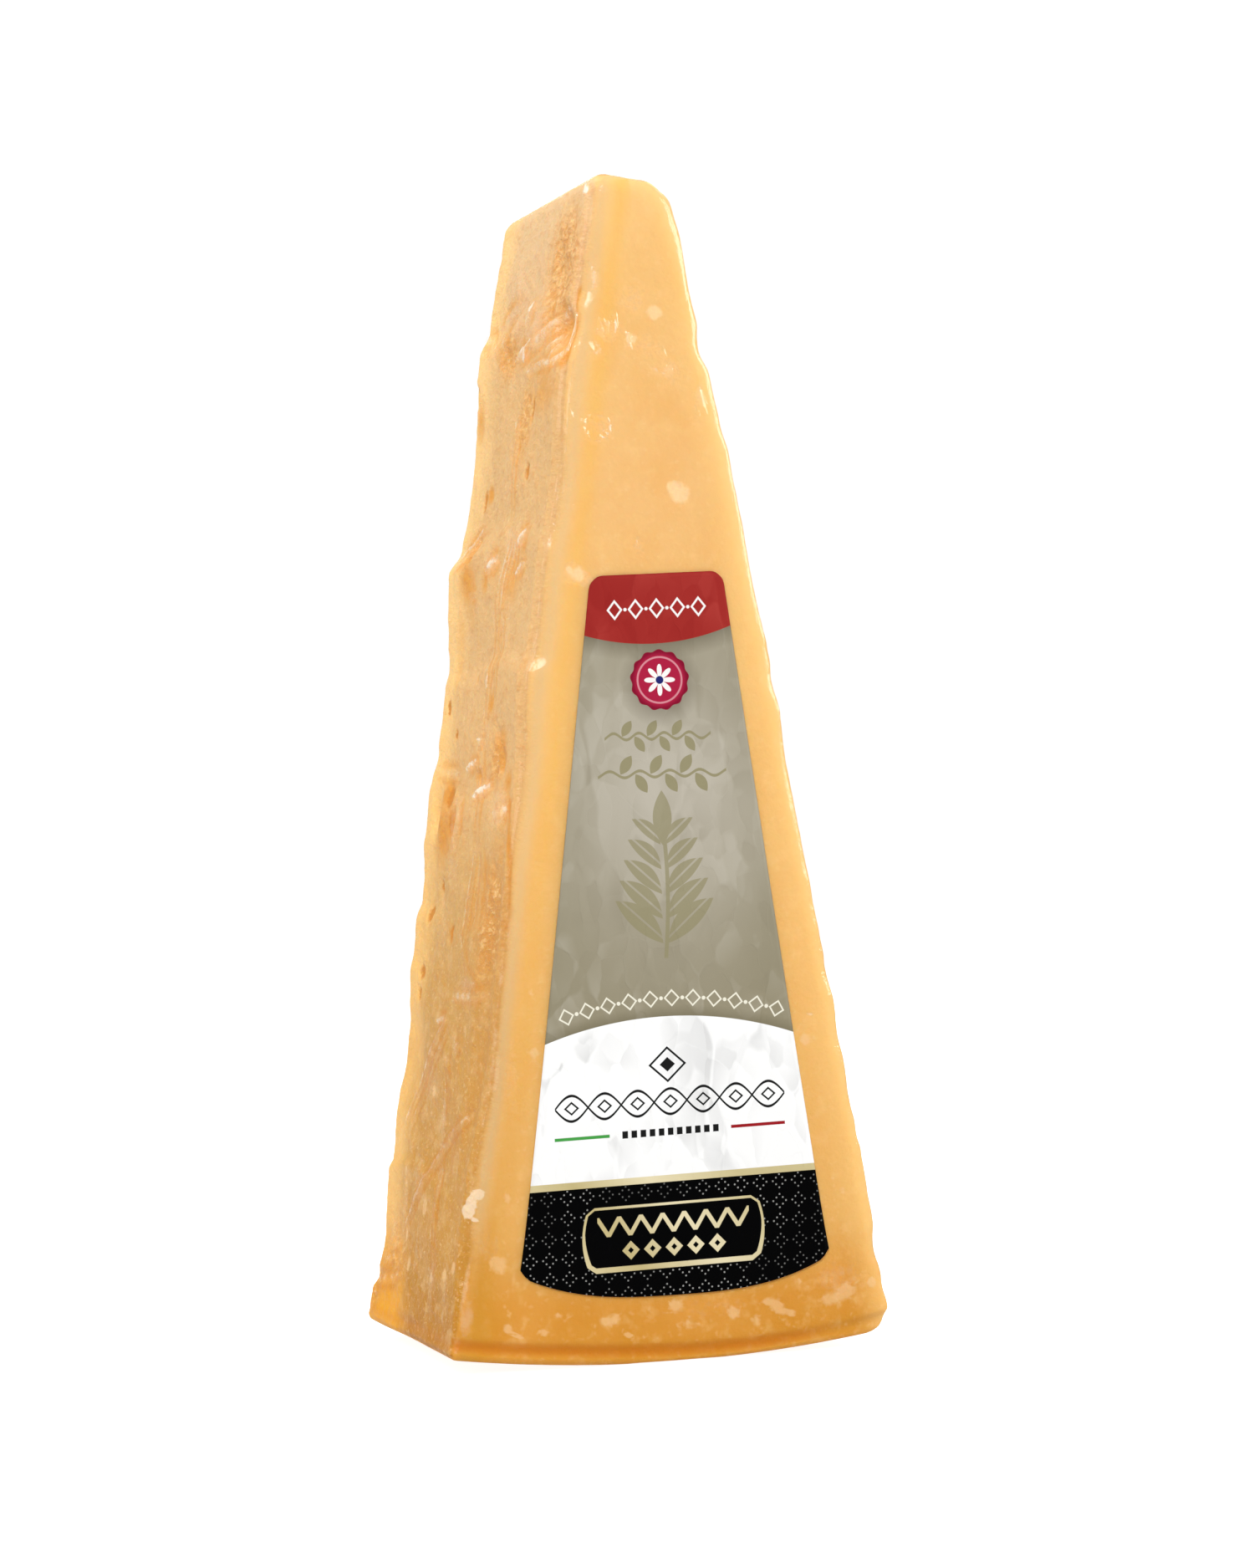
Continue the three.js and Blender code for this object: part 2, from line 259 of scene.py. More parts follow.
def place_on_wedge(corners):
    """Takes the lattice's corners to the wedge, and says where on it each one lies."""
    up_even = crowd_ends(corners[:, 2], EDGE_SHARES[2], END_LENGTH / (RAY_LENGTH / 2))
    ray_share = (up_even + 1) / 2
    half_across = (WHEEL_RADIUS - ray_share * RAY_LENGTH) * HALF_ANGLE
    across_share = crowd_ends(corners[:, 0], EDGE_SHARES[0], EDGE_LENGTH / half_across)
    end_ray = RAY_LENGTH - (across_share * TIP_FALL + across_share**2 * TIP_CROWN)
    ray = ray_share * end_ray
    half_across = (WHEEL_RADIUS - ray) * HALF_ANGLE
    across = half_across * across_share
    through = HALF_DEPTH * crowd_ends(corners[:, 1], EDGE_SHARES[1], EDGE_LENGTH / HALF_DEPTH)

    block = np.stack([across, through, ray], -1)
    radii = edge_radii(across, through, ray)
    lowest = np.stack([-half_across, np.full_like(ray, -HALF_DEPTH), np.zeros_like(ray)], -1)
    highest = np.stack([half_across, np.full_like(ray, HALF_DEPTH), end_ray], -1)
    inner = np.clip(block, lowest + radii, highest - radii)
    outward = (block - inner) / radii
    outward /= np.linalg.norm(outward, axis=1, keepdims=True)
    rounded = inner + outward * radii

    angle = rounded[:, 0] / (WHEEL_RADIUS - ray)
    reach = WHEEL_RADIUS - rounded[:, 2]
    places = np.stack([reach * np.sin(angle), rounded[:, 1], WHEEL_CENTRE - reach * np.cos(angle)], -1)

    side = np.sign(across)
    side_share = np.abs(across_share) ** SIDE_FADE_POWER
    broken = np.where(
        side < 0,
        broken_face(-1, places[:, 2], places[:, 1]),
        broken_face(1, places[:, 2], places[:, 1]),
    )
    broken *= smoothstep(RAY_LENGTH - rounded[:, 2], 0, TIP_FADE)
    to_right = smoothstep(across, *GROOVE_FALL_SPAN)
    groove_height = lerp(GROOVE_LEFT_HEIGHT, GROOVE_RIGHT_HEIGHT, to_right)
    lip_share = smoothstep(rounded[:, 2], groove_height, LIP_HEIGHT)
    back_left = smoothstep(places[:, 1], *BACK_SPAN) * (side < 0)
    places[:, 0] += side * side_share * lerp(LIP_SWELL + LIP_FILL * back_left, broken, lip_share)

    groove = GROOVE_DEPTH * bump((rounded[:, 2] - groove_height) / GROOVE_HALF_WIDTH)
    front_share = smoothstep(np.abs(through), HALF_DEPTH - 2 * EDGE_LENGTH, HALF_DEPTH)
    places[:, 1] -= np.sign(through) * front_share * groove
    places[:, 0] -= side * side_share * GROOVE_SIDE_SHARE * groove * (1 - back_left)
    places[:, 2] = np.maximum(places[:, 2], 0)
    round_edge = (through + HALF_DEPTH) - (across + half_across)
    return places, {"ray": rounded[:, 2], "groove": groove, "round_edge": round_edge}


def corner_normals(places, quads):
    first, second, third, fourth = (places[quads[:, k]] for k in range(4))
    face = np.cross(third - first, fourth - second)
    normals = np.zeros_like(places)
    for k in range(4):
        np.add.at(normals, quads[:, k], face)
    return normals / np.linalg.norm(normals, axis=1, keepdims=True)


def follow_line(across, up, points):
    """Distance of each place on a face to a bent line, and how far along the line it lies, 0 to 1."""
    nearest = np.full(len(across), 1e9)
    along = np.zeros(len(across))
    lengths = [math.dist(first, second) for first, second in zip(points, points[1:])]
    done = 0
    for (x0, y0), (x1, y1), length in zip(points, points[1:], lengths):
        dx, dy = x1 - x0, y1 - y0
        share = np.clip(((across - x0) * dx + (up - y0) * dy) / length**2, 0, 1)
        distance = np.hypot(across - x0 - share * dx, up - y0 - share * dy)
        closer = distance < nearest
        nearest = np.where(closer, distance, nearest)
        along = np.where(closer, (done + share * length) / sum(lengths), along)
        done += length
    return nearest, along


def arc(centre, radius, start, end, steps=8):
    """Points of an arc, with angles in degrees counted from the right."""
    angles = np.radians(np.linspace(start, end, steps))
    return [(centre[0] + radius * math.cos(a), centre[1] + radius * math.sin(a)) for a in angles]


# Creases of the film on the left face: points as place through the wedge and height, half width, lift, and
# how white the film turns there, partly its own whitening and partly painted highlight
LEFT_CREASES = (
    (((2.5, 141.2), (-2, 141.8), (-10, 143), (-19, 144.6), (-24, 145.6)), 0.75, 0.42, 0.5),
    (((0.5, 141.6), (-2.2, 142.2)), 0.8, 0.2, 0.8),
    (((-5, 138.7), (-12, 139.1), (-20, 138.9), (-25, 139.6)), 0.5, 0.34, 0.6),
    (((-2.4, 146.2), (-4.9, 148.6)), 0.8, 0.3, 0.9),
    (((-1.6, 140.6), (-3.6, 141.6), (-6.2, 143.4)), 0.5, 0.26, 1.0),
    (((-13.2, 141.2), (-20.4, 144.1)), 0.3, 0.16, 0.5),
    (((-15.6, 140.4), (-20.9, 143.2)), 0.3, 0.16, 0.55),
    (((-17.7, 139.6), (-21.6, 142.7)), 0.35, 0.16, 0.5),
    (((5.7, 141.2), (9.4, 144), (12.2, 147)), 0.45, 0.24, 0.4),
    (((8.4, 140.4), (13.4, 143.4), (15.6, 146.2)), 0.35, 0.2, 0.3),
    (((-8, 144.8), (-15, 146.6)), 0.45, 0.2, 0.3),
    (((17, 144.8), (14.5, 147), (10, 148.5), (4, 149.1)), 0.8, 0.3, 0.4),
    (((24, 146.6), (20.5, 146.1), (18, 144)), 0.6, 0.3, 0.4),
    (((5, 139.2), (1, 138), (-1.5, 135.5), (-2.5, 132)), 0.4, -0.2, 0),
    (((-2, 132), (-2.8, 131)), 0.5, 0.2, 0.5),
    (((-3, 131), (-4.2, 118)), 0.5, 0.16, 0.12),
    (((-6.5, 130), (-7.5, 117)), 0.4, 0.12, 0.08),
    (((22, 112.8), (18, 114.2), (14.8, 115.3), (11.2, 117.2)), 0.7, 0.34, 0.6),
    (((17.4, 112.4), (13.2, 114.2), (8.6, 116.4)), 0.4, 0.2, 0.35),
    (((-11.6, 114.2), (-15.2, 115.7)), 0.75, 0.34, 0.8),
    (((3.2, 111.2), (1.2, 111.9), (-2.2, 112.7)), 0.7, 0.34, 0.9),
    (((-7.2, 116.4), (-7.6, 113.8), (-4.1, 109.9), (-3.3, 107.6)), 0.4, 0.26, 0.55),
    (((-8.9, 116), (-9, 113.6), (-6, 109.4), (-5.4, 106)), 0.4, 0.24, 0.45),
    (((-10.6, 115), (-10.2, 112.6), (-8, 108.6)), 0.35, 0.2, 0.35),
    (((-11.2, 109.8), (-13.2, 110.7), (-16.4, 111.2)), 0.5, 0.26, 0.8),
    (((11.5, 108.4), (8.5, 108)), 0.5, 0.2, 0.35),
    (((-1, 109), (-3.2, 104), (-4.4, 95), (-5.2, 87)), 0.6, 0.3, 0.22),
    (((-3.5, 107), (-6.8, 103), (-8.2, 97), (-9.5, 90)), 0.5, 0.2, 0.16),
    (((-4.3, 96.5), (-5, 94.5)), 0.6, 0.22, 0.6),
    (((-2.2, 87), (-5, 86.5)), 0.4, 0.26, 0.8),
    (((3.5, 82.8), (0, 83.5), (-2.5, 84)), 0.5, 0.34, 0.9),
    (((-1.5, 78.9), (-6, 79.6), (-11.5, 80.4)), 0.55, 0.4, 1.0),
    (((-3, 88), (-5.6, 80), (-6.2, 72)), 0.8, 0.4, 0.15),
    (((-9.5, 90), (-13, 86), (-17.5, 81.5)), 0.9, -0.5, 0),
    (((-1.5, 82), (-5, 81.2)), 0.8, -0.4, 0),
    (((-14.8, 76.4), (-17, 76.6)), 0.5, 0.26, 0.6),
    (((-19, 77.2), (-21.5, 76.8)), 0.7, 0.3, 0.7),
    (((7.5, 82), (22, 83)), 0.6, 0.22, 0.25),
    (((6.8, 79), (5.6, 72)), 1.1, 0.4, 0.3),
    (((-5.8, 71), (-6.4, 60), (-7, 56.5)), 0.6, 0.3, 0.4),
    (((-9.5, 72), (-12.8, 60)), 0.7, 0.3, 0.18),
    (((-7.4, 72), (-9.6, 60)), 0.5, -0.24, 0),
    (((-7, 57.5), (-11, 53.8), (-16, 53)), 0.5, 0.24, 0.25),
    (((-4, 51.2), (-10, 51), (-19, 51.6)), 0.55, 0.3, 0.45),
    (((3, 47.3), (-1, 47.7)), 0.5, 0.24, 0.5),
    (((-2, 48), (5, 42.4), (16.5, 32)), 0.5, 0.28, 0.4),
    (((-4, 46.5), (4, 40.6), (14, 31)), 0.4, 0.2, 0.25),
    (((-4.5, 43), (-6.6, 34)), 0.45, 0.2, 0.25),
    (((-21.5, 35.7), (-10, 31.4), (-2, 27), (8, 19.6), (12, 17)), 0.55, 0.3, 0.38),
    (((-9.5, 44.4), (-8, 43.6)), 0.6, 0.2, 0.45),
    (((-6.6, 32), (-7.4, 22), (-10.5, 9)), 0.5, 0.22, 0.25),
    (((24, 8.8), (16, 9.3), (10, 10.6)), 0.6, 0.35, 0.3),
    (((21, 11.8), (15, 12.6)), 0.5, 0.2, 0.3),
    (((-27, 139.6), (-26.2, 136), (-26.5, 96)), 0.5, 0.14, 0.16),
    (((-24.6, 128), (-25, 98), (-25.5, 82)), 0.5, 0.12, 0.14),
    (((-25.2, 55), (-25.4, 20)), 0.7, 0.14, 0.2),
)
RIGHT_CREASES = (
    (((-24, 136.5), (-14, 134), (-4, 134.8), (8, 132)), 0.7, 0.4, 0.4),
    (((6, 131), (14, 129), (22, 130.4)), 0.5, 0.3, 0.35),
    (((2, 130), (3.4, 112), (2.2, 98)), 0.5, 0.26, 0.2),
    (((-20, 99), (-11, 97.4), (-4, 98.5)), 0.6, 0.34, 0.5),
    (((4, 96), (12, 98), (20, 96.6)), 0.6, 0.34, 0.5),
    (((3, 96), (5.4, 80), (4, 62)), 0.6, 0.3, 0.22),
    (((6.4, 94), (8, 78), (7, 60)), 0.5, 0.2, 0.15),
    (((-18, 60), (-8, 57.6), (1, 58.6)), 0.6, 0.36, 0.5),
    (((4, 57), (-6, 46), (-18, 36)), 0.5, 0.3, 0.4),
    (((6, 56), (16, 45), (22, 34)), 0.5, 0.28, 0.35),
    (((20, 34), (6, 27), (-8, 18)), 0.5, 0.28, 0.35),
    (((2, 26), (0, 9)), 0.5, 0.22, 0.25),
    (((-22, 9.4), (-10, 9), (2, 10.4)), 0.6, 0.3, 0.3),
)
# Creases and smears of the film along the edge between the left face and the front: points as
# place through the wedge, counted on round the edge, and height
EDGE_CREASES = (
    # painted highlight on the top corner
    (((-23.7, 162.6), (-24.3, 161.6)), 1.15, 0.08, 1.1),
    (((-26, 143.5), (-25.6, 141), (-25.3, 139.8)), 0.35, 0.12, 0.7),
    (((-24.8, 139.3), (-21, 138.4)), 0.45, 0.2, 0.8),
    (((-26.4, 145), (-26.2, 142.6)), 0.35, 0.2, 0.6),
    (((-27.2, 140), (-27.1, 128), (-27.4, 116)), 0.35, 0.05, 0.22),
    (((-30.6, 70), (-30.9, 69)), 0.35, 0.05, 0.8),
)
# Creases of the film on the front face: points as across and height
FRONT_CREASES = (
    (arc((-6.2, 128.8), 1.7, -150, 30), 0.28, 0.16, 0.85),
    (arc((-6.2, 128.8), 1.7, 30, 210), 0.3, 0.1, 0.3),
    (((-5, 143.6), (-5.1, 141.6)), 0.3, 0.14, 0.4),
    (((-4.2, 143.8), (-4.3, 142.2)), 0.28, 0.14, 0.6),
    (((-3.1, 144.4), (-3.1, 142)), 0.3, 0.16, 0.85),
    (((-1.4, 142), (-1.1, 140)), 0.4, 0.12, 0.4),
    (((-5.7, 140), (-6.3, 139.2)), 0.8, 0.14, 0.7),
    (((-5.7, 150.6), (-5.9, 148)), 0.4, 0.1, 0.45),
    (arc((3.3, 138.4), 1.9, -150, -20), 0.3, 0.12, 0.4),
    (((3, 140.4), (3.6, 139)), 0.4, 0.12, 0.5),
    (((-1.4, 113.4), (-1, 112.2)), 0.3, 0.16, 0.95),
    (((-9.4, 131), (-10, 118)), 0.4, 0.08, 0.06),
    (((8.6, 134), (9, 131)), 0.3, 0.12, 0.3),
    (((8, 131.8), (8.2, 129)), 0.3, 0.1, 0.3),
    (((19, 44.2), (21.4, 47)), 0.25, 0.12, 0.4),
)
BACK_CREASES = (
    (arc((5, 122), 2, 20, 220), 0.3, 0.14, 0.5),
    (((2, 146), (1.6, 142)), 0.35, 0.14, 0.5),
    (((0, 145), (-0.3, 142.6)), 0.3, 0.12, 0.4),
    (((-9, 90), (-3, 84), (4, 82)), 0.4, 0.2, 0.3),
    (((16, 60), (8, 52), (-4, 50)), 0.4, 0.2, 0.3),
    (((-20, 30), (-12, 26)), 0.4, 0.18, 0.3),
    (((18, 26), (14, 20), (16, 12)), 0.4, 0.18, 0.3),
)

# Pale crystal spots: across and height on the front face, radius
FRONT_SPOTS = (
    (-24.7, 15, 1.35), (-24.2, 8, 0.55), (-23.7, 6.2, 0.7), (-22.2, 5, 0.4), (-17, 7.6, 0.6),
    (-18.7, 5.3, 0.55), (-9, 6.6, 1), (-10.4, 6.3, 0.8), (-12.4, 5, 0.5), (-6.6, 4.2, 0.5),
    (-2.3, 6.8, 0.6), (0.3, 7.7, 1.1), (2.3, 5, 0.95), (8.5, 6.3, 1), (11.3, 4.9, 0.9), (14.8, 6.5, 1.1),
    (13.2, 7.4, 0.6), (17.4, 10, 0.8), (22.6, 7.1, 1.3), (25.3, 8.2, 1.3), (28.8, 9, 0.8), (-23.4, 24, 0.8),
    (-18.6, 43.6, 0.8), (20.5, 43.4, 1), (-9.7, 108.8, 1), (-10.9, 109.4, 0.6), (5.3, 119.6, 1.5),
    (4.3, 120.6, 0.9), (2.6, 144.6, 1.1), (-0.8, 141, 0.8), (-19, 52, 0.6), (24.6, 22, 0.7), (17, 5.6, 0.5),
    (20, 4.6, 0.4),
)
# Small dark pits on the left face: place, height, half width, half height
LEFT_PITS = (
    (24.3, 138, 1.6, 1.5), (14, 121.8, 0.9, 1.6), (11.4, 66, 1, 1), (2.5, 59.5, 1, 1.4), (17, 62, 1.2, 1.2),
    (17.5, 53.6, 1.3, 1), (18, 50.4, 1, 0.9), (8.9, 75.4, 1.6, 2), (12, 79, 1.4, 1.6), (21, 92, 1, 1.2),
    (14, 88, 0.8, 0.8), (4, 96, 0.7, 1), (-10.2, 124.3, 1, 1.2), (-9.6, 133, 0.7, 1.8),
)
# A hard white crystal on the edge between the left face and the front, in the same terms
EDGE_CRYSTALS = (
    (-27, 24.7, 1.7, 0.75), (-24.9, 22.5, 2.4, 1.05), (-25.7, 23.7, 1.5, 0.8), (-26.9, 21, 1.3, 0.25),
)
# Pale spots of the other faces: place, height, radius
LEFT_SPOTS = (
    (6.4, 12.4, 1.1), (-0.6, 21.2, 1.4), (-17, 13.2, 1), (-21.4, 14.4, 1), (11, 16.2, 1), (3, 37, 1),
    (-9, 12, 0.8), (13, 25.3, 0.6), (-18.5, 76.8, 0.8),
)
RIGHT_SPOTS = (
    (-22, 18, 1.5), (-18, 10, 1.1), (4, 14, 1.2), (16, 20, 1.3), (9, 34, 0.9), (-6, 28, 0.8),
    (21, 9, 1.2), (-12, 52, 0.8), (12, 70, 0.8),
)
BACK_SPOTS = (
    (22, 14, 1.3), (16, 8, 0.9), (9, 6.4, 1.1), (3, 8, 0.7), (-4, 5.4, 1), (-11, 7.6, 1.2),
    (-18, 6, 0.8), (-24, 10, 1.3), (12, 26, 0.8), (-6, 40, 0.9), (5, 74, 0.8), (-7, 104, 1),
    (3, 131, 1.1), (-15, 22, 0.7),
)

# Patches of each face, as height, place, half height, half width and strength. First the deep ones: painted
# shade in hollows and under ledges, where the film also lies tight and the cheese shows dark and saturated
LEFT_DEEP = (
    (135, -16, 4.5, 10, 0.55), (134, 21.5, 4.5, 4, 0.6), (122.5, 11, 1.8, 2.4, 1), (110, 13.5, 5, 6, 0.75),
    (105.5, 11, 3.5, 5, 0.2), (109, -9, 4.5, 6, 0.5), (92, -7, 2.4, 2.2, 0.9), (85, -14, 5, 4.5, 0.8),
    (81.6, -3.4, 1.8, 3, 0.9), (81, -20, 2.4, 2.6, 0.7), (79.5, 14, 3, 3.4, 1), (74, 13, 8, 7, 0.8),
    (63, -27, 15, 5, 0.5), (64, -9, 9, 1.6, 0.5), (46, -21, 22, 9, 0.2), (66, -14, 6, 6, 0.35),
    (13, 22, 6, 5, 0.3), (100, 17, 9, 3, 0.3), (30, -13, 5, 5, 0.35), (110, 4.4, 3, 2.4, 0.8),
)
# Milky ones, where the film stands off the cheese
LEFT_MILKY = (
    (152, 6, 9, 9, 0.45), (144, -9, 4.5, 9, 0.85), (147, 3, 4, 6, 0.7), (139, 3, 5, 4, 0.4),
    (125, -2, 9, 9, 0.35), (114.5, -9, 4, 6, 0.85), (112, 2, 4.5, 4, 0.6), (102, -9, 7, 6, 0.4),
    (90, 4, 9, 7, 0.25), (87, -6, 6, 5, 0.45), (77, -17, 4, 7, 0.9), (80, -8, 2.6, 6, 0.8),
    (76, 5, 5, 4, 0.6), (58, 8, 12, 9, 0.3), (52.5, -12, 2.2, 8, 0.6), (38, 4, 12, 8, 0.35),
    (33, -5.5, 9, 1.8, 0.6), (24, -8, 9, 1.6, 0.5), (12, -11, 8, 2, 0.6), (15, 1, 6, 2, 0.4),
    (21, 12, 8, 3, 0.4), (25, 5, 5, 5, 0.45), (15, 18, 6, 6, 0.4), (70, 5, 7, 5, 0.4), (10, -19, 6, 2, 0.4),
    (43, -8, 5, 2, 0.5),
)
# Deep lines of painted shade in hollows along the edge between the left face and the front: points, half
# width and strength
DEEP_LINES = (
    (((-25.9, 147.8), (-26.8, 145.5), (-27, 142.5), (-26.3, 139.7), (-24.6, 138.2)), 0.65, 1),
    (((-21.6, 77.5), (-22.9, 74.5), (-25.4, 69), (-27.2, 62.5)), 0.8, 0.8),
)
# Deep patches of painted shade on the right face, in the same form
RIGHT_DEEP = (
    (137, -15, 5, 10, 0.7), (104, 10, 6, 6, 1), (66, 15, 8, 6, 0.9), (47, -6, 7, 8, 0.8),
    (26, 12, 8, 9, 0.5), (16, -14, 5, 12, 0.5), (86, -18, 9, 5, 0.5),
)
RIGHT_MILKY = (
    (150, 4, 9, 10, 0.5), (131, 4, 6, 9, 0.7), (116, -8, 9, 8, 0.4), (97, -8, 5, 9, 0.8), (78, 2, 9, 8, 0.4),
    (57, -6, 4, 9, 0.8), (36, 8, 9, 5, 0.5), (22, -2, 10, 4, 0.5),
)
FRONT_MILKY = (
    (128.8, -6.2, 2.6, 2.4, 0.55), (142, -4.2, 3.4, 3, 0.5), (146.5, -0.5, 3, 4, 0.35),
    (140, 1.2, 3.6, 3.4, 0.4), (136.5, 4.4, 3, 2.4, 0.4), (119.8, 5, 2.6, 2.2, 0.6),
    (112.6, -1, 2, 1.4, 0.5), (108.9, -10.4, 2.4, 2.2, 1.1), (107.8, -8.6, 1.2, 2, 0.8),
    (133, 8.6, 4, 1.2, 0.4), (149.5, -6.4, 4, 1, 0.5), (40, -22, 8, 2, 0.3), (18, -26, 4, 3, 0.4),
    (10, 24, 4, 6, 0.35), (7, 4, 2.5, 12, 0.25),
)
# The same along the edge between the left face and the front, with places counted on round it
EDGE_MILKY = (
    (156, -26.5, 7, 0.7, 0.7), (149, -28.9, 2.4, 1, 0.8), (134, -27.3, 7, 0.7, 0.4),
    (98, -25.2, 5, 0.9, 0.5), (60, -27, 3.4, 0.9, 0.6), (41, -27.5, 5, 1, 0.9), (28, -27.9, 9, 0.8, 0.4),
    (18, -27.2, 4, 1, 0.35), (12, -26.6, 6, 1, 0.9), (8, -27.9, 3.4, 1.3, 0.8), (4.6, -27, 2, 1, 0.4),
)
BACK_MILKY = (
    (122, 5, 4, 4, 0.5), (144, 1, 5, 3, 0.4), (86, -3, 6, 8, 0.4), (55, 8, 5, 9, 0.4), (28, -16, 5, 6, 0.4),
    (24, 16, 5, 5, 0.35), (100, -8, 7, 4, 0.3),
)
# Crumbly ones, where grains broke out
LEFT_CRUMBLY = (
    (152.5, -16.5, 12, 13, 1), (142.5, 7, 6, 8, 0.8), (62, -19, 15, 9, 0.7), (84, -13, 6, 7, 0.6),
    (13, 14, 9, 12, 0.5), (132, -6, 9, 5, 0.7), (8, 23, 6, 5, 0.6), (115, 15, 4, 7, 0.7),
)


def patches(spots, height, place):
    total = np.zeros_like(height)
    for middle, centre, tall, wide, strength in spots:
        distance = np.hypot((height - middle) / tall, (place - centre) / wide)
        total = np.maximum(total, strength * bump(distance))
    return total


def face_weights(normals):
    """How far each corner belongs to the left, right, front and back face, from its normal."""
    ways = {"left": -normals[:, 0], "right": normals[:, 0], "front": -normals[:, 1], "back": normals[:, 1]}
    return {face: smoothstep(way, *FACE_TURN) for face, way in ways.items()}


def add_creases(creases, across, up, weight, lift, fold, white, tight_shade):
    """Ridges with tapered ends and a valley on each side. The fold falls evenly from 1 on a crest to 0 at
    twice the half width, so a material can set its crisp rim and its painted highlight. The valleys beside
    raised creases are gathered for painted shade."""
    for points, half_width, height, whiteness_and_highlight in creases:
        distance, along = follow_line(across, up, points)
        taper = np.sqrt(np.clip(4 * along * (1 - along), 0.04, 1))
        reach = distance / (half_width * (0.5 + 0.5 * taper))
        ridge = weight * taper * np.exp(-(reach**2))
        valley = weight * taper * np.exp(-((reach - 2) ** 2))
        lift += height * (ridge - VALLEY_SHARE * valley)
        cone = weight * (1 - reach / 2)
        higher = cone > fold
        fold[:] = np.where(higher, cone, fold)
        white[:] = np.where(higher, whiteness_and_highlight, white)
        if height > LEAST_SHADED_LIFT:
            tight_shade[:] = np.maximum(tight_shade, valley)


def add_spots(spots, across, up, weight, cone):
    """Cones of height 1 that fall to 0 at twice a spot's size: half way down is the spot's rim. A
    spot ends with its radius, or with its half width and half height."""
    for centre, height, *radii in spots:
        distance = np.hypot((across - centre) / radii[0], (up - height) / radii[-1])
        cone[:] = np.maximum(cone, weight * (1 - distance / 2))


def make_mesh(name, places, quads, attributes):
    """Makes an object from places in millimetres and named numbers for each corner."""
    mesh = bpy.data.meshes.new(name)
    mesh.from_pydata((places * MM).tolist(), [], quads.tolist())
    mesh.shade_smooth()
    for key, values in attributes.items():
        kind = "FLOAT_VECTOR" if values.ndim == 2 else "FLOAT"
        attribute = mesh.attributes.new(key, kind, "POINT")
        field = "vector" if values.ndim == 2 else "value"
        attribute.data.foreach_set(field, values.astype(np.float32).ravel())
    piece = bpy.data.objects.new(name, mesh)
    bpy.context.collection.objects.link(piece)
    return piece


def label_share(places):
    """1 where the label covers the front face, with a soft rim."""
    (low, low_half), (high, high_half), middle = (17, 21.6), (107, 9.6), 0.8
    half = lerp(low_half, high_half, (places[:, 2] - low) / (high - low))
    inside = np.minimum(half - np.abs(places[:, 0] - middle), label_high[2] - places[:, 2])
    inside = np.minimum(inside, places[:, 2] - label_low[2])
    return smoothstep(inside, -1.5, 0.5) * (places[:, 1] < 0)


corners, quads = skin_lattice(CELLS)
places, where = place_on_wedge(corners)
normals = corner_normals(places, quads)
faces = face_weights(normals)
across, through, up = places.T
faces["right"] *= smoothstep(through, -HALF_DEPTH, 4 - HALF_DEPTH)
ray = where["ray"]
sides = np.maximum(faces["left"], faces["right"])

# The film: creases, faint pulled lines, and places where it turns milky
wobble = [WOBBLE * layered_noise(places, WOBBLE_SIZE, 81 + k, 3) for k in range(2)]
# The last of these gathers the valleys beside the creases, for painted shade in them
lift, fold, white, tight_shade = np.zeros((4, len(places)))
round_edge = where["round_edge"]
from_front_left = round_edge - HALF_DEPTH
edge_share = smoothstep(round_edge, *EDGE_CREASES_START) * (across < 0) * (through < 0)
for creases, place, weight in (
    (LEFT_CREASES, through, faces["left"]), (EDGE_CREASES, from_front_left, edge_share),
    (RIGHT_CREASES, through, faces["right"]), (FRONT_CREASES, across, faces["front"]),
    (BACK_CREASES, across, faces["back"]),
):
    add_creases(creases, place + wobble[0], up + wobble[1], weight, lift, fold, white, tight_shade)
pulled = layered_noise(places, PULL_SIZE, 11, 3)
pucker = layered_noise(places, PUCKER_SIZE, 21, 3)
calm = smoothstep(np.abs(round_edge - CALM_MIDDLE), *CALM_SPAN)
lift += sides * calm * (PULL * pulled + PUCKER * pucker)
lift += (1 - sides) * CUT_PUCKER * pucker
lift *= 1 - label_share(places)
lift *= smoothstep(ray, 0, 3)


def on_faces(**tables):
    """The patches of each face, weighted by how far a corner belongs to that face."""
    along = {"left": through, "right": through, "front": across, "back": across}
    return sum(faces[face] * patches(table, up, along[face]) for face, table in tables.items())


# The cheese under it: crumbly where it broke, smoother where it was cut
crumbs = layered_noise(places, CRUMB_SIZE, 31, 4)
grain = layered_noise(places, GRAIN_SIZE, 41, 3)
uneven = np.clip(0.5 + layered_noise(places, UNEVEN_SIZE, 61, 3), 0, 1)
deep = on_faces(left=LEFT_DEEP) + on_faces(right=RIGHT_DEEP) * uneven
milky = on_faces(left=LEFT_MILKY, right=RIGHT_MILKY, front=FRONT_MILKY, back=BACK_MILKY)
milky = np.maximum(milky, edge_share * patches(EDGE_MILKY, up, from_front_left))
for points, half_width, strength in DEEP_LINES:
    distance, _ = follow_line(from_front_left, up, points)
    deep = np.maximum(deep, edge_share * strength * bump(distance / (2 * half_width)))
right_crumbly = RIGHT_CRUMBLY * smoothstep(layered_noise(places, CRUMBLY_SIZE, 51, 4), 0, 0.6)
crumbly = np.maximum(on_faces(left=LEFT_CRUMBLY), faces["right"] * right_crumbly)
hollow = sum(
    faces[face] * hollow_depth(row, up, through)
    for face, rows in (("left", LEFT_HOLLOWS), ("right", RIGHT_HOLLOWS)) for row in rows
)
pits = np.zeros(len(places))
add_spots(LEFT_PITS, through, up, faces["left"], pits)
sunk = GAP + sides * calm * (BROKEN_GAP + BROKEN_CRUMBS * crumbs + BROKEN_GRAIN * grain)
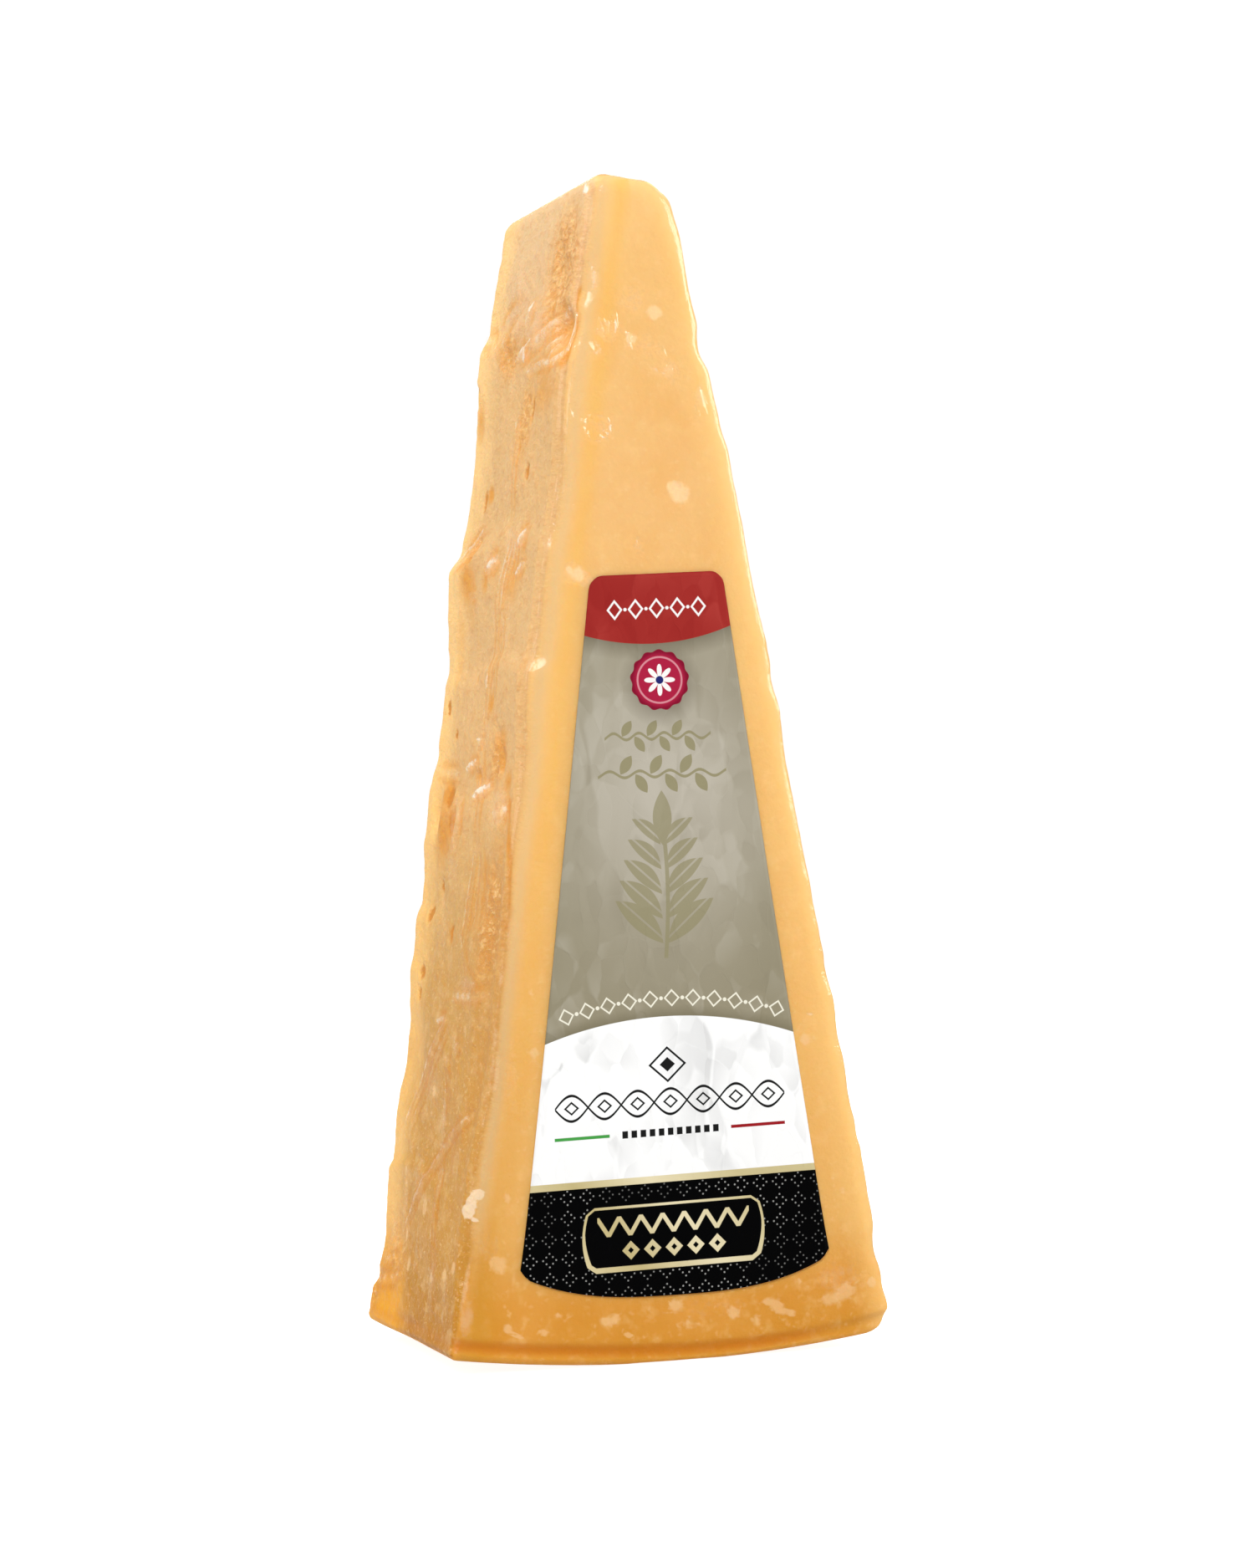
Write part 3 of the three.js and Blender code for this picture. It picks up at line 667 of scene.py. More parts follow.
sunk += crumbly * calm * (CRUMBLY_GAP + CRUMBLY_CRUMBS * crumbs) + (1 - sides) * CUT_CRUMBS * crumbs
sunk += DEEP_GAP * deep + PIT_DEPTH * np.clip(pits * 2 - 0.6, 0, 1) + HOLLOW_GAP * hollow
sunk = np.maximum(sunk, LEAST_GAP) + np.maximum(-lift, 0)
# Painted shade: the deep patches, and a share of the hollows
deep_and_hollow_shade = np.maximum(deep, HOLLOW_SHADE * hollow * lerp(1, uneven, faces["right"]))

left_share = smoothstep(round_edge, *SPOTS_START) * (across < 0) * (through < HALF_DEPTH)
spots = np.zeros(len(places))
for table, place, weight in (
    (LEFT_SPOTS, from_front_left, left_share), (RIGHT_SPOTS, through, faces["right"]),
    (FRONT_SPOTS, across, faces["front"]), (BACK_SPOTS, across, faces["back"]),
):
    add_spots(table, place, up, weight, spots)

# How far each corner is from the nearest upright edge, for a painted glow of light through the edges, and a
# band along the front-left one
half_across = (WHEEL_RADIUS - ray) * HALF_ANGLE
near_edge = (through < -HALF_DEPTH / 2) * (across < 0)
# Distance from the edge, for a painted glow of light through the thin edges, kept further off the front-left
# edge low down
rim_glow_distance = np.maximum(HALF_DEPTH - np.abs(through), half_across - np.abs(across))
rim_glow_distance += near_edge * PLAIN_RIM * (1 - smoothstep(up, *PLAIN_SPAN))
# Painted shade on the rounded front-left edge, strongest half way round it
painted_edge_shade = (2 * normals[:, 0] * normals[:, 1]) ** 2 * near_edge
above_foot = smoothstep(up, *FOOT_SPAN)
band = np.exp(-(((round_edge - BAND_MIDDLE) / BAND_WIDTH) ** 2))
band *= near_edge * lerp(BAND_AT_FOOT, 1, above_foot)
from_band = round_edge - lerp(*BESIDE_MIDDLES, above_foot)
beside_band = np.exp(-((from_band / lerp(*BESIDE_WIDTHS, above_foot)) ** 2)) * near_edge
crystal = np.zeros(len(places))
add_spots(EDGE_CRYSTALS, from_front_left, up, near_edge, crystal)
# Faces that turn up, for painted shade on the top
top = smoothstep(normals[:, 2], *TOP_SHADE_TURN)
# Groove depth, for painted shade in the groove, fading towards the right
groove = where["groove"] * lerp(1, GROOVE_SHADE_FADED, smoothstep(across, *GROOVE_SHADE_FADE_SPAN))

film_places = places + normals * np.maximum(lift, LOWEST_LIFT)[:, None]
cheese_places = places - normals * sunk[:, None]
film_places[:, 2] = np.maximum(film_places[:, 2], 0)
cheese_places[:, 2] = np.maximum(cheese_places[:, 2], CHEESE_LOWEST)


class Number:
    """A number that varies over a surface. Arithmetic on it adds nodes to its material."""

    def __init__(self, tree, socket):
        self.tree, self.socket = tree, socket

    def put(self, operation, *others, clamp=False):
        node = self.tree.nodes.new("ShaderNodeMath")
        node.operation, node.use_clamp = operation, clamp
        for slot, value in zip(node.inputs, (self, *others)):
            if isinstance(value, Number):
                self.tree.links.new(value.socket, slot)
            else:
                slot.default_value = value
        return Number(self.tree, node.outputs[0])

    def __add__(self, other):
        return self.put("ADD", other)

    def __sub__(self, other):
        return self.put("SUBTRACT", other)

    def __rsub__(self, other):
        return -self + other

    def __neg__(self):
        return self.put("MULTIPLY", -1.0)

    def __mul__(self, other):
        return self.put("MULTIPLY", other)

    __radd__, __rmul__ = __add__, __mul__

    def __truediv__(self, other):
        return self.put("DIVIDE", other)

    def __pow__(self, other):
        return self.put("POWER", other)

    def abs(self):
        return self.put("ABSOLUTE")

    def least(self, other):
        return self.put("MINIMUM", other)

    def most(self, other):
        return self.put("MAXIMUM", other)

    def clamped(self):
        return self.put("ADD", 0.0, clamp=True)

    def repeat(self, pitch):
        """The distance from the middle of the nearest repeat, from minus half a pitch to half."""
        return (self + pitch / 2).put("FLOORED_MODULO", pitch) - pitch / 2

    def kept(self, pitch, limit):
        """1 in the repeats whose middles lie within a limit, and 0 in the others."""
        return (self - self.repeat(pitch)).within(limit)

    def inside(self, softness=0.05):
        """1 where this is above 0 and 0 where it is below, with a narrow soft rim."""
        return (self / softness + 0.5).clamped()

    def within(self, limit, softness=0.05):
        """1 where this lies within a limit of 0, with the same rim: a line where a distance is near 0."""
        return (limit - self.abs()).inside(softness)

    def rising(self, low, high):
        """0 below low, 1 above high."""
        return ((self - low) / (high - low)).clamped()


class Surface:
    """A material under construction, with short names for the nodes it uses."""

    def __init__(self, name):
        self.material = bpy.data.materials.new(name)
        self.material.use_nodes = True
        self.tree = self.material.node_tree
        self.tree.nodes.clear()
        self.place = self.new("ShaderNodeTexCoord").outputs["Object"]

    def new(self, kind, **settings):
        node = self.tree.nodes.new(kind)
        for key, value in settings.items():
            setattr(node, key, value)
        return node

    def link(self, source, target):
        self.tree.links.new(source.socket if isinstance(source, Number) else source, target)

    def read(self, name):
        return Number(self.tree, self.new("ShaderNodeAttribute", attribute_name=name).outputs["Fac"])

    def read_vector(self, name):
        vector = self.new("ShaderNodeAttribute", attribute_name=name).outputs["Vector"]
        split = self.new("ShaderNodeSeparateXYZ")
        self.link(vector, split.inputs[0])
        return [Number(self.tree, output) for output in split.outputs]

    def noise(self, size, detail=2.0, roughness=0.5, stretch=(1, 1, 1), distortion=0.0):
        """Noise around 0.5, with blobs of a size in millimetres."""
        mapping = self.new("ShaderNodeMapping")
        mapping.inputs["Scale"].default_value = stretch
        self.link(self.place, mapping.inputs["Vector"])
        node = self.new("ShaderNodeTexNoise")
        self.link(mapping.outputs[0], node.inputs["Vector"])
        node.inputs["Scale"].default_value = 1 / (size * MM)
        node.inputs["Detail"].default_value = detail
        node.inputs["Roughness"].default_value = roughness
        node.inputs["Distortion"].default_value = distortion
        return Number(self.tree, node.outputs["Fac"])

    def vector_math(self, operation, *values):
        node = self.new("ShaderNodeVectorMath", operation=operation)
        for value, slot in zip(values, node.inputs):
            if isinstance(value, tuple):
                slot.default_value = value
            else:
                self.link(value, slot)
        return node.outputs["Value" if operation == "DOT_PRODUCT" else "Vector"]

    def pushed_place(self, size, share, stretch):
        """The place on the surface, stretched and pushed about by noise by a share of its blobs' size."""
        place = self.vector_math("MULTIPLY", self.place, stretch)
        noise = self.new("ShaderNodeTexNoise")
        noise.inputs["Scale"].default_value = 1 / (size * MM)
        self.link(place, noise.inputs["Vector"])
        return self.vector_math("MULTIPLY_ADD", noise.outputs["Color"], (size * MM * share,) * 3, place)

    def ramp(self, height, stops):
        """A colour that runs smoothly through stops, each a height and the colour seen there."""
        node = self.new("ShaderNodeValToRGB")
        low, high = stops[0][0], stops[-1][0]
        elements = node.color_ramp.elements
        while len(elements) < len(stops):
            elements.new(0.5)
        for element, (stop, rgb) in zip(elements, stops):
            element.position = (stop - low) / (high - low)
            element.color = (*seen(rgb), 1)
        self.link((height - low) / (high - low), node.inputs[0])
        return node.outputs[0]

    def mix(self, first, second, share):
        node = self.new("ShaderNodeMix", data_type="RGBA")
        self.link(share, node.inputs["Factor"])
        for value, slot in ((first, node.inputs["A"]), (second, node.inputs["B"])):
            if isinstance(value, tuple):
                slot.default_value = (*value, 1)
            else:
                self.link(value, slot)
        return node.outputs["Result"]

    def blend(self, base, *coats):
        """A base with coats over it, each a colour and the share of it that shows. A colour is a
        socket, or the three numbers from 0 to 255 that it is seen as."""
        base = seen(base)
        for colour, share in coats:
            base = self.mix(base, seen(colour), share)
        return base

    def mix_shaders(self, share, first, second):
        node = self.new("ShaderNodeMixShader")
        for source, slot in zip((share, first, second), node.inputs):
            self.link(source, slot)
        return node.outputs[0]

    def bump(self, height, distance):
        node = self.new("ShaderNodeBump")
        node.inputs["Distance"].default_value = distance * MM
        self.link(height, node.inputs["Height"])
        return node.outputs["Normal"]

    def principled(self, **values):
        node = self.new("ShaderNodeBsdfPrincipled")
        for key, value in values.items():
            node.inputs[key.replace("_", " ")].default_value = value
        return node

    def finish(self, shader):
        self.link(shader, self.new("ShaderNodeOutputMaterial").inputs["Surface"])
        return self.material


LIGHT_LEVEL = 1.08


def seen(colour):
    """The linear colour that shows as three numbers from 0 to 255 under the scene's light. A
    colour that a node gives stays as it is."""
    if not isinstance(colour, tuple):
        return colour
    return tuple(((c / 255 + 0.055) / 1.055) ** 2.4 / LIGHT_LEVEL for c in colour)


# Colours by height, in millimetres
CUT_COLOURS = (
    (0, (230, 164, 60)), (1.4, (216, 146, 32)), (8, (220, 150, 48)), (17, (234, 178, 94)),
    (40, (239, 183, 98)), (62, (240, 187, 108)), (90, (242, 191, 114)), (120, (242, 191, 121)),
    (150, (243, 194, 121)), (163, (248, 203, 134)),
)
BROKEN_COLOURS = (
    (0, (188, 122, 22)), (8, (192, 132, 30)), (16, (204, 145, 52)), (50, (209, 156, 77)),
    (66, (217, 168, 98)), (76, (230, 180, 114)), (100, (229, 182, 120)), (135, (227, 180, 118)),
    (148, (228, 185, 132)), (163, (234, 194, 142)),
)


def cheese_material():
    surface = Surface("aged_cheese")
    height = surface.read("ray")
    broken = surface.read("broken")
    deep = surface.read("deep")
    crumb = surface.read("crumbly")

    cloud = surface.noise(9, 3, 0.55, stretch=(1, 1, 0.7))
    blotch = surface.noise(2.6, 3, 0.6, stretch=(1, 0.5, 1))
    fine = surface.noise(1.1, 3, 0.6, stretch=(1, 0.5, 1))
    speck = surface.noise(0.45, 2, 0.6, stretch=(1, 0.5, 1))
    streak = surface.noise(1.7, 3, 0.6, stretch=(1, 0.4, 0.42), distortion=0.8)
    fleck = surface.noise(1.4, 3, 0.6, stretch=(1, 0.45, 0.6))
    grit = surface.noise(0.85, 2, 0.65, stretch=(1, 0.45, 1))

    cut_colour = surface.blend(
        surface.ramp(height, CUT_COLOURS),
        ((238, 172, 84), cloud.rising(0.42, 0.7) * 0.35),
        ((253, 208, 138), blotch.rising(0.52, 0.72) * 0.3),
        ((252, 212, 150), fine.rising(0.58, 0.74) * 0.3),
        # painted golden glow of light through the thin upright edges
        ((252, 206, 126), surface.read("rim_glow_distance").rising(5, 0.5) * 0.6),
    )

    # The broken faces: fibrous low down, a painted golden glow of light through the back edge, and painted
    # shade in hollows, under ledges and beside creases, where the film also lies tight
    fibrous = height.rising(75, 45) * 0.5 + 0.4
    # A painted golden glow of light through the back edge, saturated low down
    back_edge_glow = surface.blend(
        (250, 196, 112), ((255, 208, 136), height.rising(40, 110)), ((244, 168, 34), height.rising(13, 6)),
    )
    back_edge = surface.read("through") + (cloud - 0.5) * 12 + height.rising(16, 4) * 10
    # Painted shade in the deep patches and hollows, where the film also lies tight
    tight_shade = (deep * 1.3 + (blotch - 0.5) * deep.rising(0, 0.3)).clamped()
    deep_shade_colour = surface.blend((206, 130, 32), ((229, 152, 44), height.rising(40, 90)))
    warm = surface.blend((214, 144, 58), ((232, 166, 82), height.rising(60, 110)))
    loose = crumb.rising(0.1, 0.6)
    pit = (surface.read("pit") + (speck - 0.5) * 0.5).rising(0.4, 0.6)
    broken_colour = surface.blend(
        surface.ramp(height, BROKEN_COLOURS),
        ((206, 136, 58), streak.rising(0.52, 0.72) * fibrous * 0.25),
        ((238, 194, 130), blotch.rising(0.5, 0.3) * fibrous * height.rising(-10, 30) * 0.5),
        ((230, 186, 124), fleck.rising(0.54, 0.66) * (fibrous * 0.6 - 0.15)),
        ((208, 136, 62), fine.rising(0.54, 0.7) * 0.35),
        ((248, 210, 152), speck.rising(0.58, 0.7) * 0.4),
        # painted golden glow of light through the back edge
        (back_edge_glow, back_edge.rising(11, 21) * 0.92),
        # painted shade of the deep patches
        (deep_shade_colour, tight_shade * 0.85),
        (warm, crumb.rising(0, 0.6) * 0.55),
        ((212, 142, 58), loose * grit.rising(0.5, 0.6) * 0.6),
        ((253, 210, 142), loose * grit.rising(0.44, 0.36) * 0.5),
        ((204, 128, 34), pit * 0.85),
    )

    # The whole: both kinds of face, the bands at the front-left edge, painted shade on that rounded edge,
    # beside creases, in the groove and on the top, spots and crystal
    pulled = surface.noise(0.7, 2, 0.5, stretch=(1, 1, 0.04)) * 0.6 + 0.5
    pale = surface.blend((220, 182, 120), ((236, 195, 130), height.rising(40, 72)))
    yellow = surface.blend((212, 148, 36), ((246, 190, 92), height.rising(10, 70)))
    spot_colour = surface.blend((243, 198, 138), ((255, 222, 168), height.rising(30, 90)))
    spot = (surface.read("spot") + (fine - 0.5) * 0.45 + (speck - 0.5) * 0.2).rising(0.44, 0.64)
    crystal = (surface.read("crystal") + (fine - 0.5) * 0.4 + (speck - 0.5) * 0.15).rising(0.46, 0.56)
    body = surface.blend(
        cut_colour,
        (broken_colour, broken.rising(0.15, 0.85)),
        (pale, surface.read("band") * pulled),
        (yellow, surface.read("beside_band") * pulled * height.rising(40, 12).most(0.7)),
        # painted shade on the rounded front-left edge
        ((154, 108, 50), surface.read("painted_edge_shade") * 0.16),
        # painted shade in the valleys beside the creases
        (deep_shade_colour, surface.read("tight_shade") * broken * 0.6),
        # painted shade in the groove above the foot
        ((208, 122, 0), surface.read("groove").rising(0.05, 0.4) * (1 - broken * 0.75) * 0.85),
        # painted shade on faces that turn up
        ((196, 140, 72), surface.read("top") * 0.85),
        (spot_colour, spot * 0.6),
        ((238, 210, 172), crystal * 0.95),
    )

    shader = surface.principled(
        Roughness=0.5, Specular_IOR_Level=0.2,
        Subsurface_Weight=0.35, Subsurface_Radius=(1.0, 0.42, 0.16), Subsurface_Scale=2.5 * MM,
    )
    surface.link(body, shader.inputs["Base Color"])
    relief = (fine - 0.5) * (broken * 0.5 + 0.3) + (0.5 - grit) * (crumb + 0.2)
    surface.link(surface.bump(relief, 0.4), shader.inputs["Normal"])
    return surface.finish(shader.outputs[0])


def film_material():
    surface = Surface("clear_film")
    fold = surface.read("fold")
    white = surface.read("white")
    milky = surface.read("milky")
    band = surface.read("band")
    crumb = surface.read("crumbly")
    streak = surface.noise(1.4, 3, 0.6, stretch=(1, 0.45, 0.4), distortion=0.6)
    pucker = surface.noise(0.9, 3, 0.6, stretch=(1, 0.6, 1))
    speck = surface.noise(0.4, 2, 0.6)
    cloud = surface.noise(5, 3, 0.6)

    dash = surface.noise(2.3, 2, 0.5)
    # Painted highlight along the crease tops, partly the film's own whitening
    crest = (fold + (pucker - 0.5) * 1.1).rising(0.5, 0.85) * white
    crest = crest * (dash + white * 0.25).rising(0.5, 0.68)
    flank = fold.rising(0, 0.8) * pucker.rising(0.3, 0.6) * white
    # Painted glints on the crumbs
    glint = crumb * speck.rising(0.62, 0.68)
    patchy = (pucker - 0.5) * 1.4 + (streak - 0.5) * 0.9 + (cloud - 0.5) * 0.8
    veil = (milky.rising(0, 0.25) * (milky + patchy)).rising(0.1, 0.9)
    amount = (crest * 0.75).most(flank * 0.16).most(glint * 0.35).most(veil * 0.22).most(band * 0.05)

    clear = surface.new("ShaderNodeBsdfTransparent").outputs[0]
    haze = surface.principled(Roughness=0.4, Specular_IOR_Level=0.2)
    # The haze turns to a painted highlight colour on crests and glints
    painted_highlight = (crest + glint).clamped()
    surface.link(surface.mix((0.92, 0.72, 0.48), (1.0, 0.91, 0.74), painted_highlight), haze.inputs["Base Color"])
    gloss = surface.principled(Base_Color=(1, 1, 1, 1), Metallic=1.0, Roughness=0.1)
    fresnel = surface.new("ShaderNodeFresnel")
    fresnel.inputs["IOR"].default_value = 1.4

    ripples = (streak - 0.5) * 0.12 + (pucker - 0.5) * (crumb * 1.6 + milky * 0.6 + 0.3)
    ripples = ripples * (1 - band) + fold.rising(0, 1) * 1.2
    normal = surface.bump(ripples, 0.2)
    surface.link(normal, gloss.inputs["Normal"])
    surface.link(normal, fresnel.inputs["Normal"])

    ray = surface.read("ray")
    ends = ray.rising(34, 8).most(ray.rising(156, 161))
    shine = (Number(surface.tree, fresnel.outputs[0]) * 0.3 + 0.02).least(0.036)
    shine = shine * (1 - ends * 0.8) + crest * 0.06
    milked = surface.mix_shaders(amount.clamped(), clear, haze.outputs[0])
    whole = surface.mix_shaders(shine, milked, gloss.outputs[0])
    in_shadow = surface.new("ShaderNodeLightPath").outputs["Is Shadow Ray"]
    return surface.finish(surface.mix_shaders(in_shadow, whole, clear))


cheese = make_mesh("cheese", cheese_places, quads, {
    "ray": ray, "through": through, "broken": sides, "deep": deep_and_hollow_shade, "crumbly": crumbly, "pit": pits,
    "spot": spots, "crystal": crystal, "tight_shade": tight_shade, "groove": groove, "top": top,
    "rim_glow_distance": rim_glow_distance, "painted_edge_shade": painted_edge_shade, "band": band, "beside_band": beside_band,
})
cheese.data.materials.append(cheese_material())
film = make_mesh("film", film_places, quads, {
    "ray": ray, "fold": fold, "white": white, "milky": milky, "band": band, "crumbly": crumbly,
})
film.data.materials.append(film_material())
for piece in (cheese, film):
    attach(piece, "root")
    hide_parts("wrapped_wedge")

# The label, in its own plane: across and up from the lowest point of its foot
LABEL_TALL = label_high[2] - label_low[2]
LABEL_TOP_HALF, LABEL_FOOT_HALF, LABEL_FOOT_RISE, LABEL_FOOT_POWER = 9.45, 22.1, 3.95, 2.9
LABEL_CORNER, LABEL_CENTRE, LABEL_LEAN = 1.8, 0.38, math.radians(0.55)
LABEL_CORNER_LIFT, LABEL_CORNER_WIDTH = 0.9, 1.5
LABEL_CRUMPLE, LABEL_CRUMPLE_SIZE, LABEL_GAP = 0.05, (9, 9, 13), 0.02
LABEL_CELLS = (72, 160)
PRINT_SLOPE, PRINT_SHIFT = 0.0277, (0.42, -0.22)
LABEL_THICKNESS, LABEL_RAISED = label_high[1] - label_low[1], 0.38


def label_outline(side_share, up_share):
    """Takes shares from -1 to 1 and 0 to 1 to places on the label."""
    half = lerp(LABEL_FOOT_HALF, LABEL_TOP_HALF, up_share)
    across = side_share * half
    foot = LABEL_FOOT_RISE * np.abs(across / LABEL_FOOT_HALF) ** LABEL_FOOT_POWER
    at_corner = np.clip(1 - (LABEL_FOOT_HALF - np.abs(across)) / LABEL_CORNER_WIDTH, 0, 1)
    foot += LABEL_CORNER_LIFT * at_corner**2
    up = lerp(foot, LABEL_TALL, up_share)
    inner_across = np.clip(across, LABEL_CORNER - half, half - LABEL_CORNER)
    inner_up = np.minimum(up, LABEL_TALL - LABEL_CORNER)
    dx, dy = across - inner_across, up - inner_up
    squash = np.maximum(np.abs(dx), dy) / np.maximum(np.hypot(dx, dy), 1e-9)
    across, up = inner_across + dx * squash, inner_up + dy * squash
    slope = lerp(math.sin(LABEL_LEAN), PRINT_SLOPE, np.clip(up / 20, 0, 1))
    return across, up + slope * across


def make_label():
    columns, rows = LABEL_CELLS
    shares = np.linspace(-1, 1, columns + 1), np.linspace(0, 1, rows + 1)
    side_share, up_share = np.meshgrid(*shares, indexing="ij")
    across, up = label_outline(side_share.ravel(), up_share.ravel())
    flat = np.stack([across, np.zeros_like(across), up], -1)
    crumple = LABEL_CRUMPLE * layered_noise(flat, LABEL_CRUMPLE_SIZE, 71, 3)
    lean_across = across * math.cos(LABEL_LEAN) + up * math.sin(LABEL_LEAN)
    lean_up = up * math.cos(LABEL_LEAN) - across * math.sin(LABEL_LEAN)
    base_up = lean_up + label_low[2] + LABEL_RAISED
    base = np.stack([lean_across + LABEL_CENTRE, np.full_like(across, -HALF_DEPTH), base_up], -1)
    front = base - np.array([0, LABEL_THICKNESS, 0]) - crumple[:, None] * np.array([0, 1, 0])
    back = base - np.array([0, LABEL_GAP, 0])

    index = np.arange((columns + 1) * (rows + 1)).reshape(columns + 1, rows + 1)
    sheet = np.stack([index[:-1, :-1], index[1:, :-1], index[1:, 1:], index[:-1, 1:]], -1).reshape(-1, 4)
    rim = np.concatenate([index[:, 0], index[-1, 1:], index[-2::-1, -1], index[0, -2:0:-1]])
    beyond = np.roll(rim, -1)
    count = index.size
    wall = np.stack([beyond, rim, rim + count, beyond + count], -1)
    quads = np.concatenate([sheet, sheet[:, ::-1] + count, wall])
    print_place = np.stack([across - PRINT_SHIFT[0], up - PRINT_SHIFT[1], np.zeros_like(up)], -1)
    print_place = np.tile(print_place, (2, 1))
    return make_mesh("label_sheet", np.concatenate([front, back]), quads, {"print": print_place})


# The print, in millimetres across from the label's middle line and up from its foot
RED_MIDDLE, RED_LOWEST, RED_RADIUS = -2.0, 89.9, 32.0
WHITE_PEAK, WHITE_RADIUS = 38.6, 53.0
GOLD_LINE, BAR_HEIGHT = (15.85, 16.8), 22.75
OLIVE = (146, 139, 104)
GOLD_STOPS = ((-22, (190, 174, 122)), (-12, (222, 208, 164)), (-2, (196, 180, 128)),
              (9, (232, 220, 182)), (22, (204, 190, 142)))


def hypotenuse(first, second):
    return (first * first + second * second) ** 0.5


def diamond(across, up, half_across, half_up):
    """Above 0 inside an upright diamond, in about millimetres."""
    steep = half_up / half_across
    return (half_up - across.abs() * steep - up.abs()) * (1 / math.hypot(1, steep))


def top_row(across, up):
    """Outlined diamonds with dots between them."""
    pitch, last = 3.0, 6.1
    across, up = across + 0.55, up - 94.8 - across * PRINT_SLOPE
    between = across + pitch / 2
    row = diamond(across.repeat(pitch), up, 0.95, 1.2).within(0.14) * across.kept(pitch, last)
    dots = hypotenuse(between.repeat(pitch), up).within(0.24) * between.kept(pitch, last)
    return row.most(dots * across.within(5))


def seal(across, up):
    """A scalloped wax disc with a ring and a rosette: its disc, shade, ring and petals."""
    across, up = across + 0.4, up - 84.9
    radius = hypotenuse(across, up)
    angle = up.put("ARCTAN2", across)
    disc = (4.1 + (angle * 13.0).put("SINE") * 0.14 - radius).inside()
    ring = (radius - 3.15).within(0.13)
    petals = ((angle * 4.0).put("COSINE").abs() * 1.7 + 0.5 - radius).inside()
    middle = (0.55 - radius).inside()
    return disc, radius.rising(3.9, 3.3), ring, petals, middle


def leaf(along, beside, length, half_width):
    """A pointed leaf from 0 to its length, above 0 inside."""
    share = along * (2 / length) - 1
    return (1 - share * share) * half_width - beside.abs()


# Rows of vine: height, pitch of the waves, shift, half width and size of the leaves
VINE_ROWS = ((77.2, 3.6, -0.9, 7.6, 3.2), (72.0, 4.3, -0.4, 9.2, 3.8))


def vines(across, up):
    """Two rows of waving stems with a leaf on each bend."""
    rows, turn = [], math.radians(58)
    for height, pitch, shift, half_width, size in VINE_ROWS:
        x, y = across - shift, up - height
        row = (y - (x * (math.tau / pitch)).put("SINE") * 0.45).within(0.2) * x.within(half_width)
        for way in (-1, 1):
            bend = x + way * pitch / 4
            beside_stem = bend.repeat(pitch) + 0.6
            along = beside_stem * math.cos(turn) + y * (way * math.sin(turn))
            beside = y * (way * math.cos(turn)) - beside_stem * math.sin(turn)
            leaves = leaf(along, beside, size * 0.8, size * 0.2).inside()
            row = row.most(leaves * bend.kept(pitch, half_width - pitch / 2))
        rows.append(row)
    return rows[0].most(rows[1])


def sprig(across, up):
    """A stem with pairs of leaves and one leaf on top."""
    x, y = across + 0.6, up - 46.5
    turn = math.radians(42)
    shape = (x - (y * 0.16).put("SINE") * 0.5).within(0.28) * y.rising(0, 0.2) * (18 - y).inside()
    for level in range(5):
        height, length = 2.5 + 3.4 * level, 9.0 - 0.9 * level
        for way in (-1, 1):
            dx, dy = x * way, y - height
            along = dx * math.cos(turn) + dy * math.sin(turn)
            beside = dy * math.cos(turn) - dx * math.sin(turn)
            share = (along / length - 0.5) * 2.0
            blade = leaf(along, beside + share * share * 0.5, length, 0.17 * length).inside()
            shape = shape.most(blade * (1 - beside.within(0.14) * 0.8))
    return shape.most(leaf(y - 15.6, x, 7.6, 1.35).inside())


def bead_arc(across, up):
    """Diamonds and dots along an arc above the white field."""
    pitch, radius = 3.05, WHITE_RADIUS + 2.5
    below = up - (WHITE_PEAK - WHITE_RADIUS)
    ring = hypotenuse(across, below) - radius
    along = across.put("ARCTAN2", below) * radius
    row = diamond(along.repeat(pitch), ring, 1.0, 1.05).within(0.11) * along.kept(pitch, 15.4)
    dots = hypotenuse((along + pitch / 2).repeat(pitch), ring).within(0.27)
    return row.most(dots * along.within(14.5))


def white_ornament(across, up):
    """A small nest of diamonds over a braid of two thin lines, and a row of squares under it."""
    x, y = across + 0.9, up - 32.0
    nest = diamond(x, y, 2.5, 2.3).within(0.14).most(diamond(x, y, 1.1, 1.0).inside())

    pitch = 4.7
    x, y = across + 0.6, up - 26.9
    wave = (x * (math.pi / pitch)).put("COSINE") * 1.75
    braid = ((y - wave) * 0.75).within(0.14).most(((y + wave) * 0.75).within(0.14))
    braid = braid.most(diamond(x.repeat(pitch), y, 0.9, 0.8).within(0.12)) * x.within(16.45)

    x, y = across + 0.7, up - BAR_HEIGHT
    squares = (0.4 - x.repeat(1.3).abs()).least(0.5 - y.abs()).inside() * x.within(7.2)
    return nest.most(braid).most(squares)


def side_bar(across, up, middle):
    return (3.9 - (across - middle).abs()).least(0.22 - (up - BAR_HEIGHT).abs()).inside()


def dot_rings(across, up):
    """Pin dots, set in small diamond rings."""
    pitch, cell, middle = 0.46, 6.0, 2.0
    dots = hypotenuse(across.repeat(pitch), up.repeat(pitch)).within(0.115, 0.08)
    column, row = (
        (place / pitch + 0.5).put("FLOOR").put("FLOORED_MODULO", cell) - middle for place in (across, up)
    )
    return dots * (column.abs() + row.abs() - middle).within(0.5, 0.2)


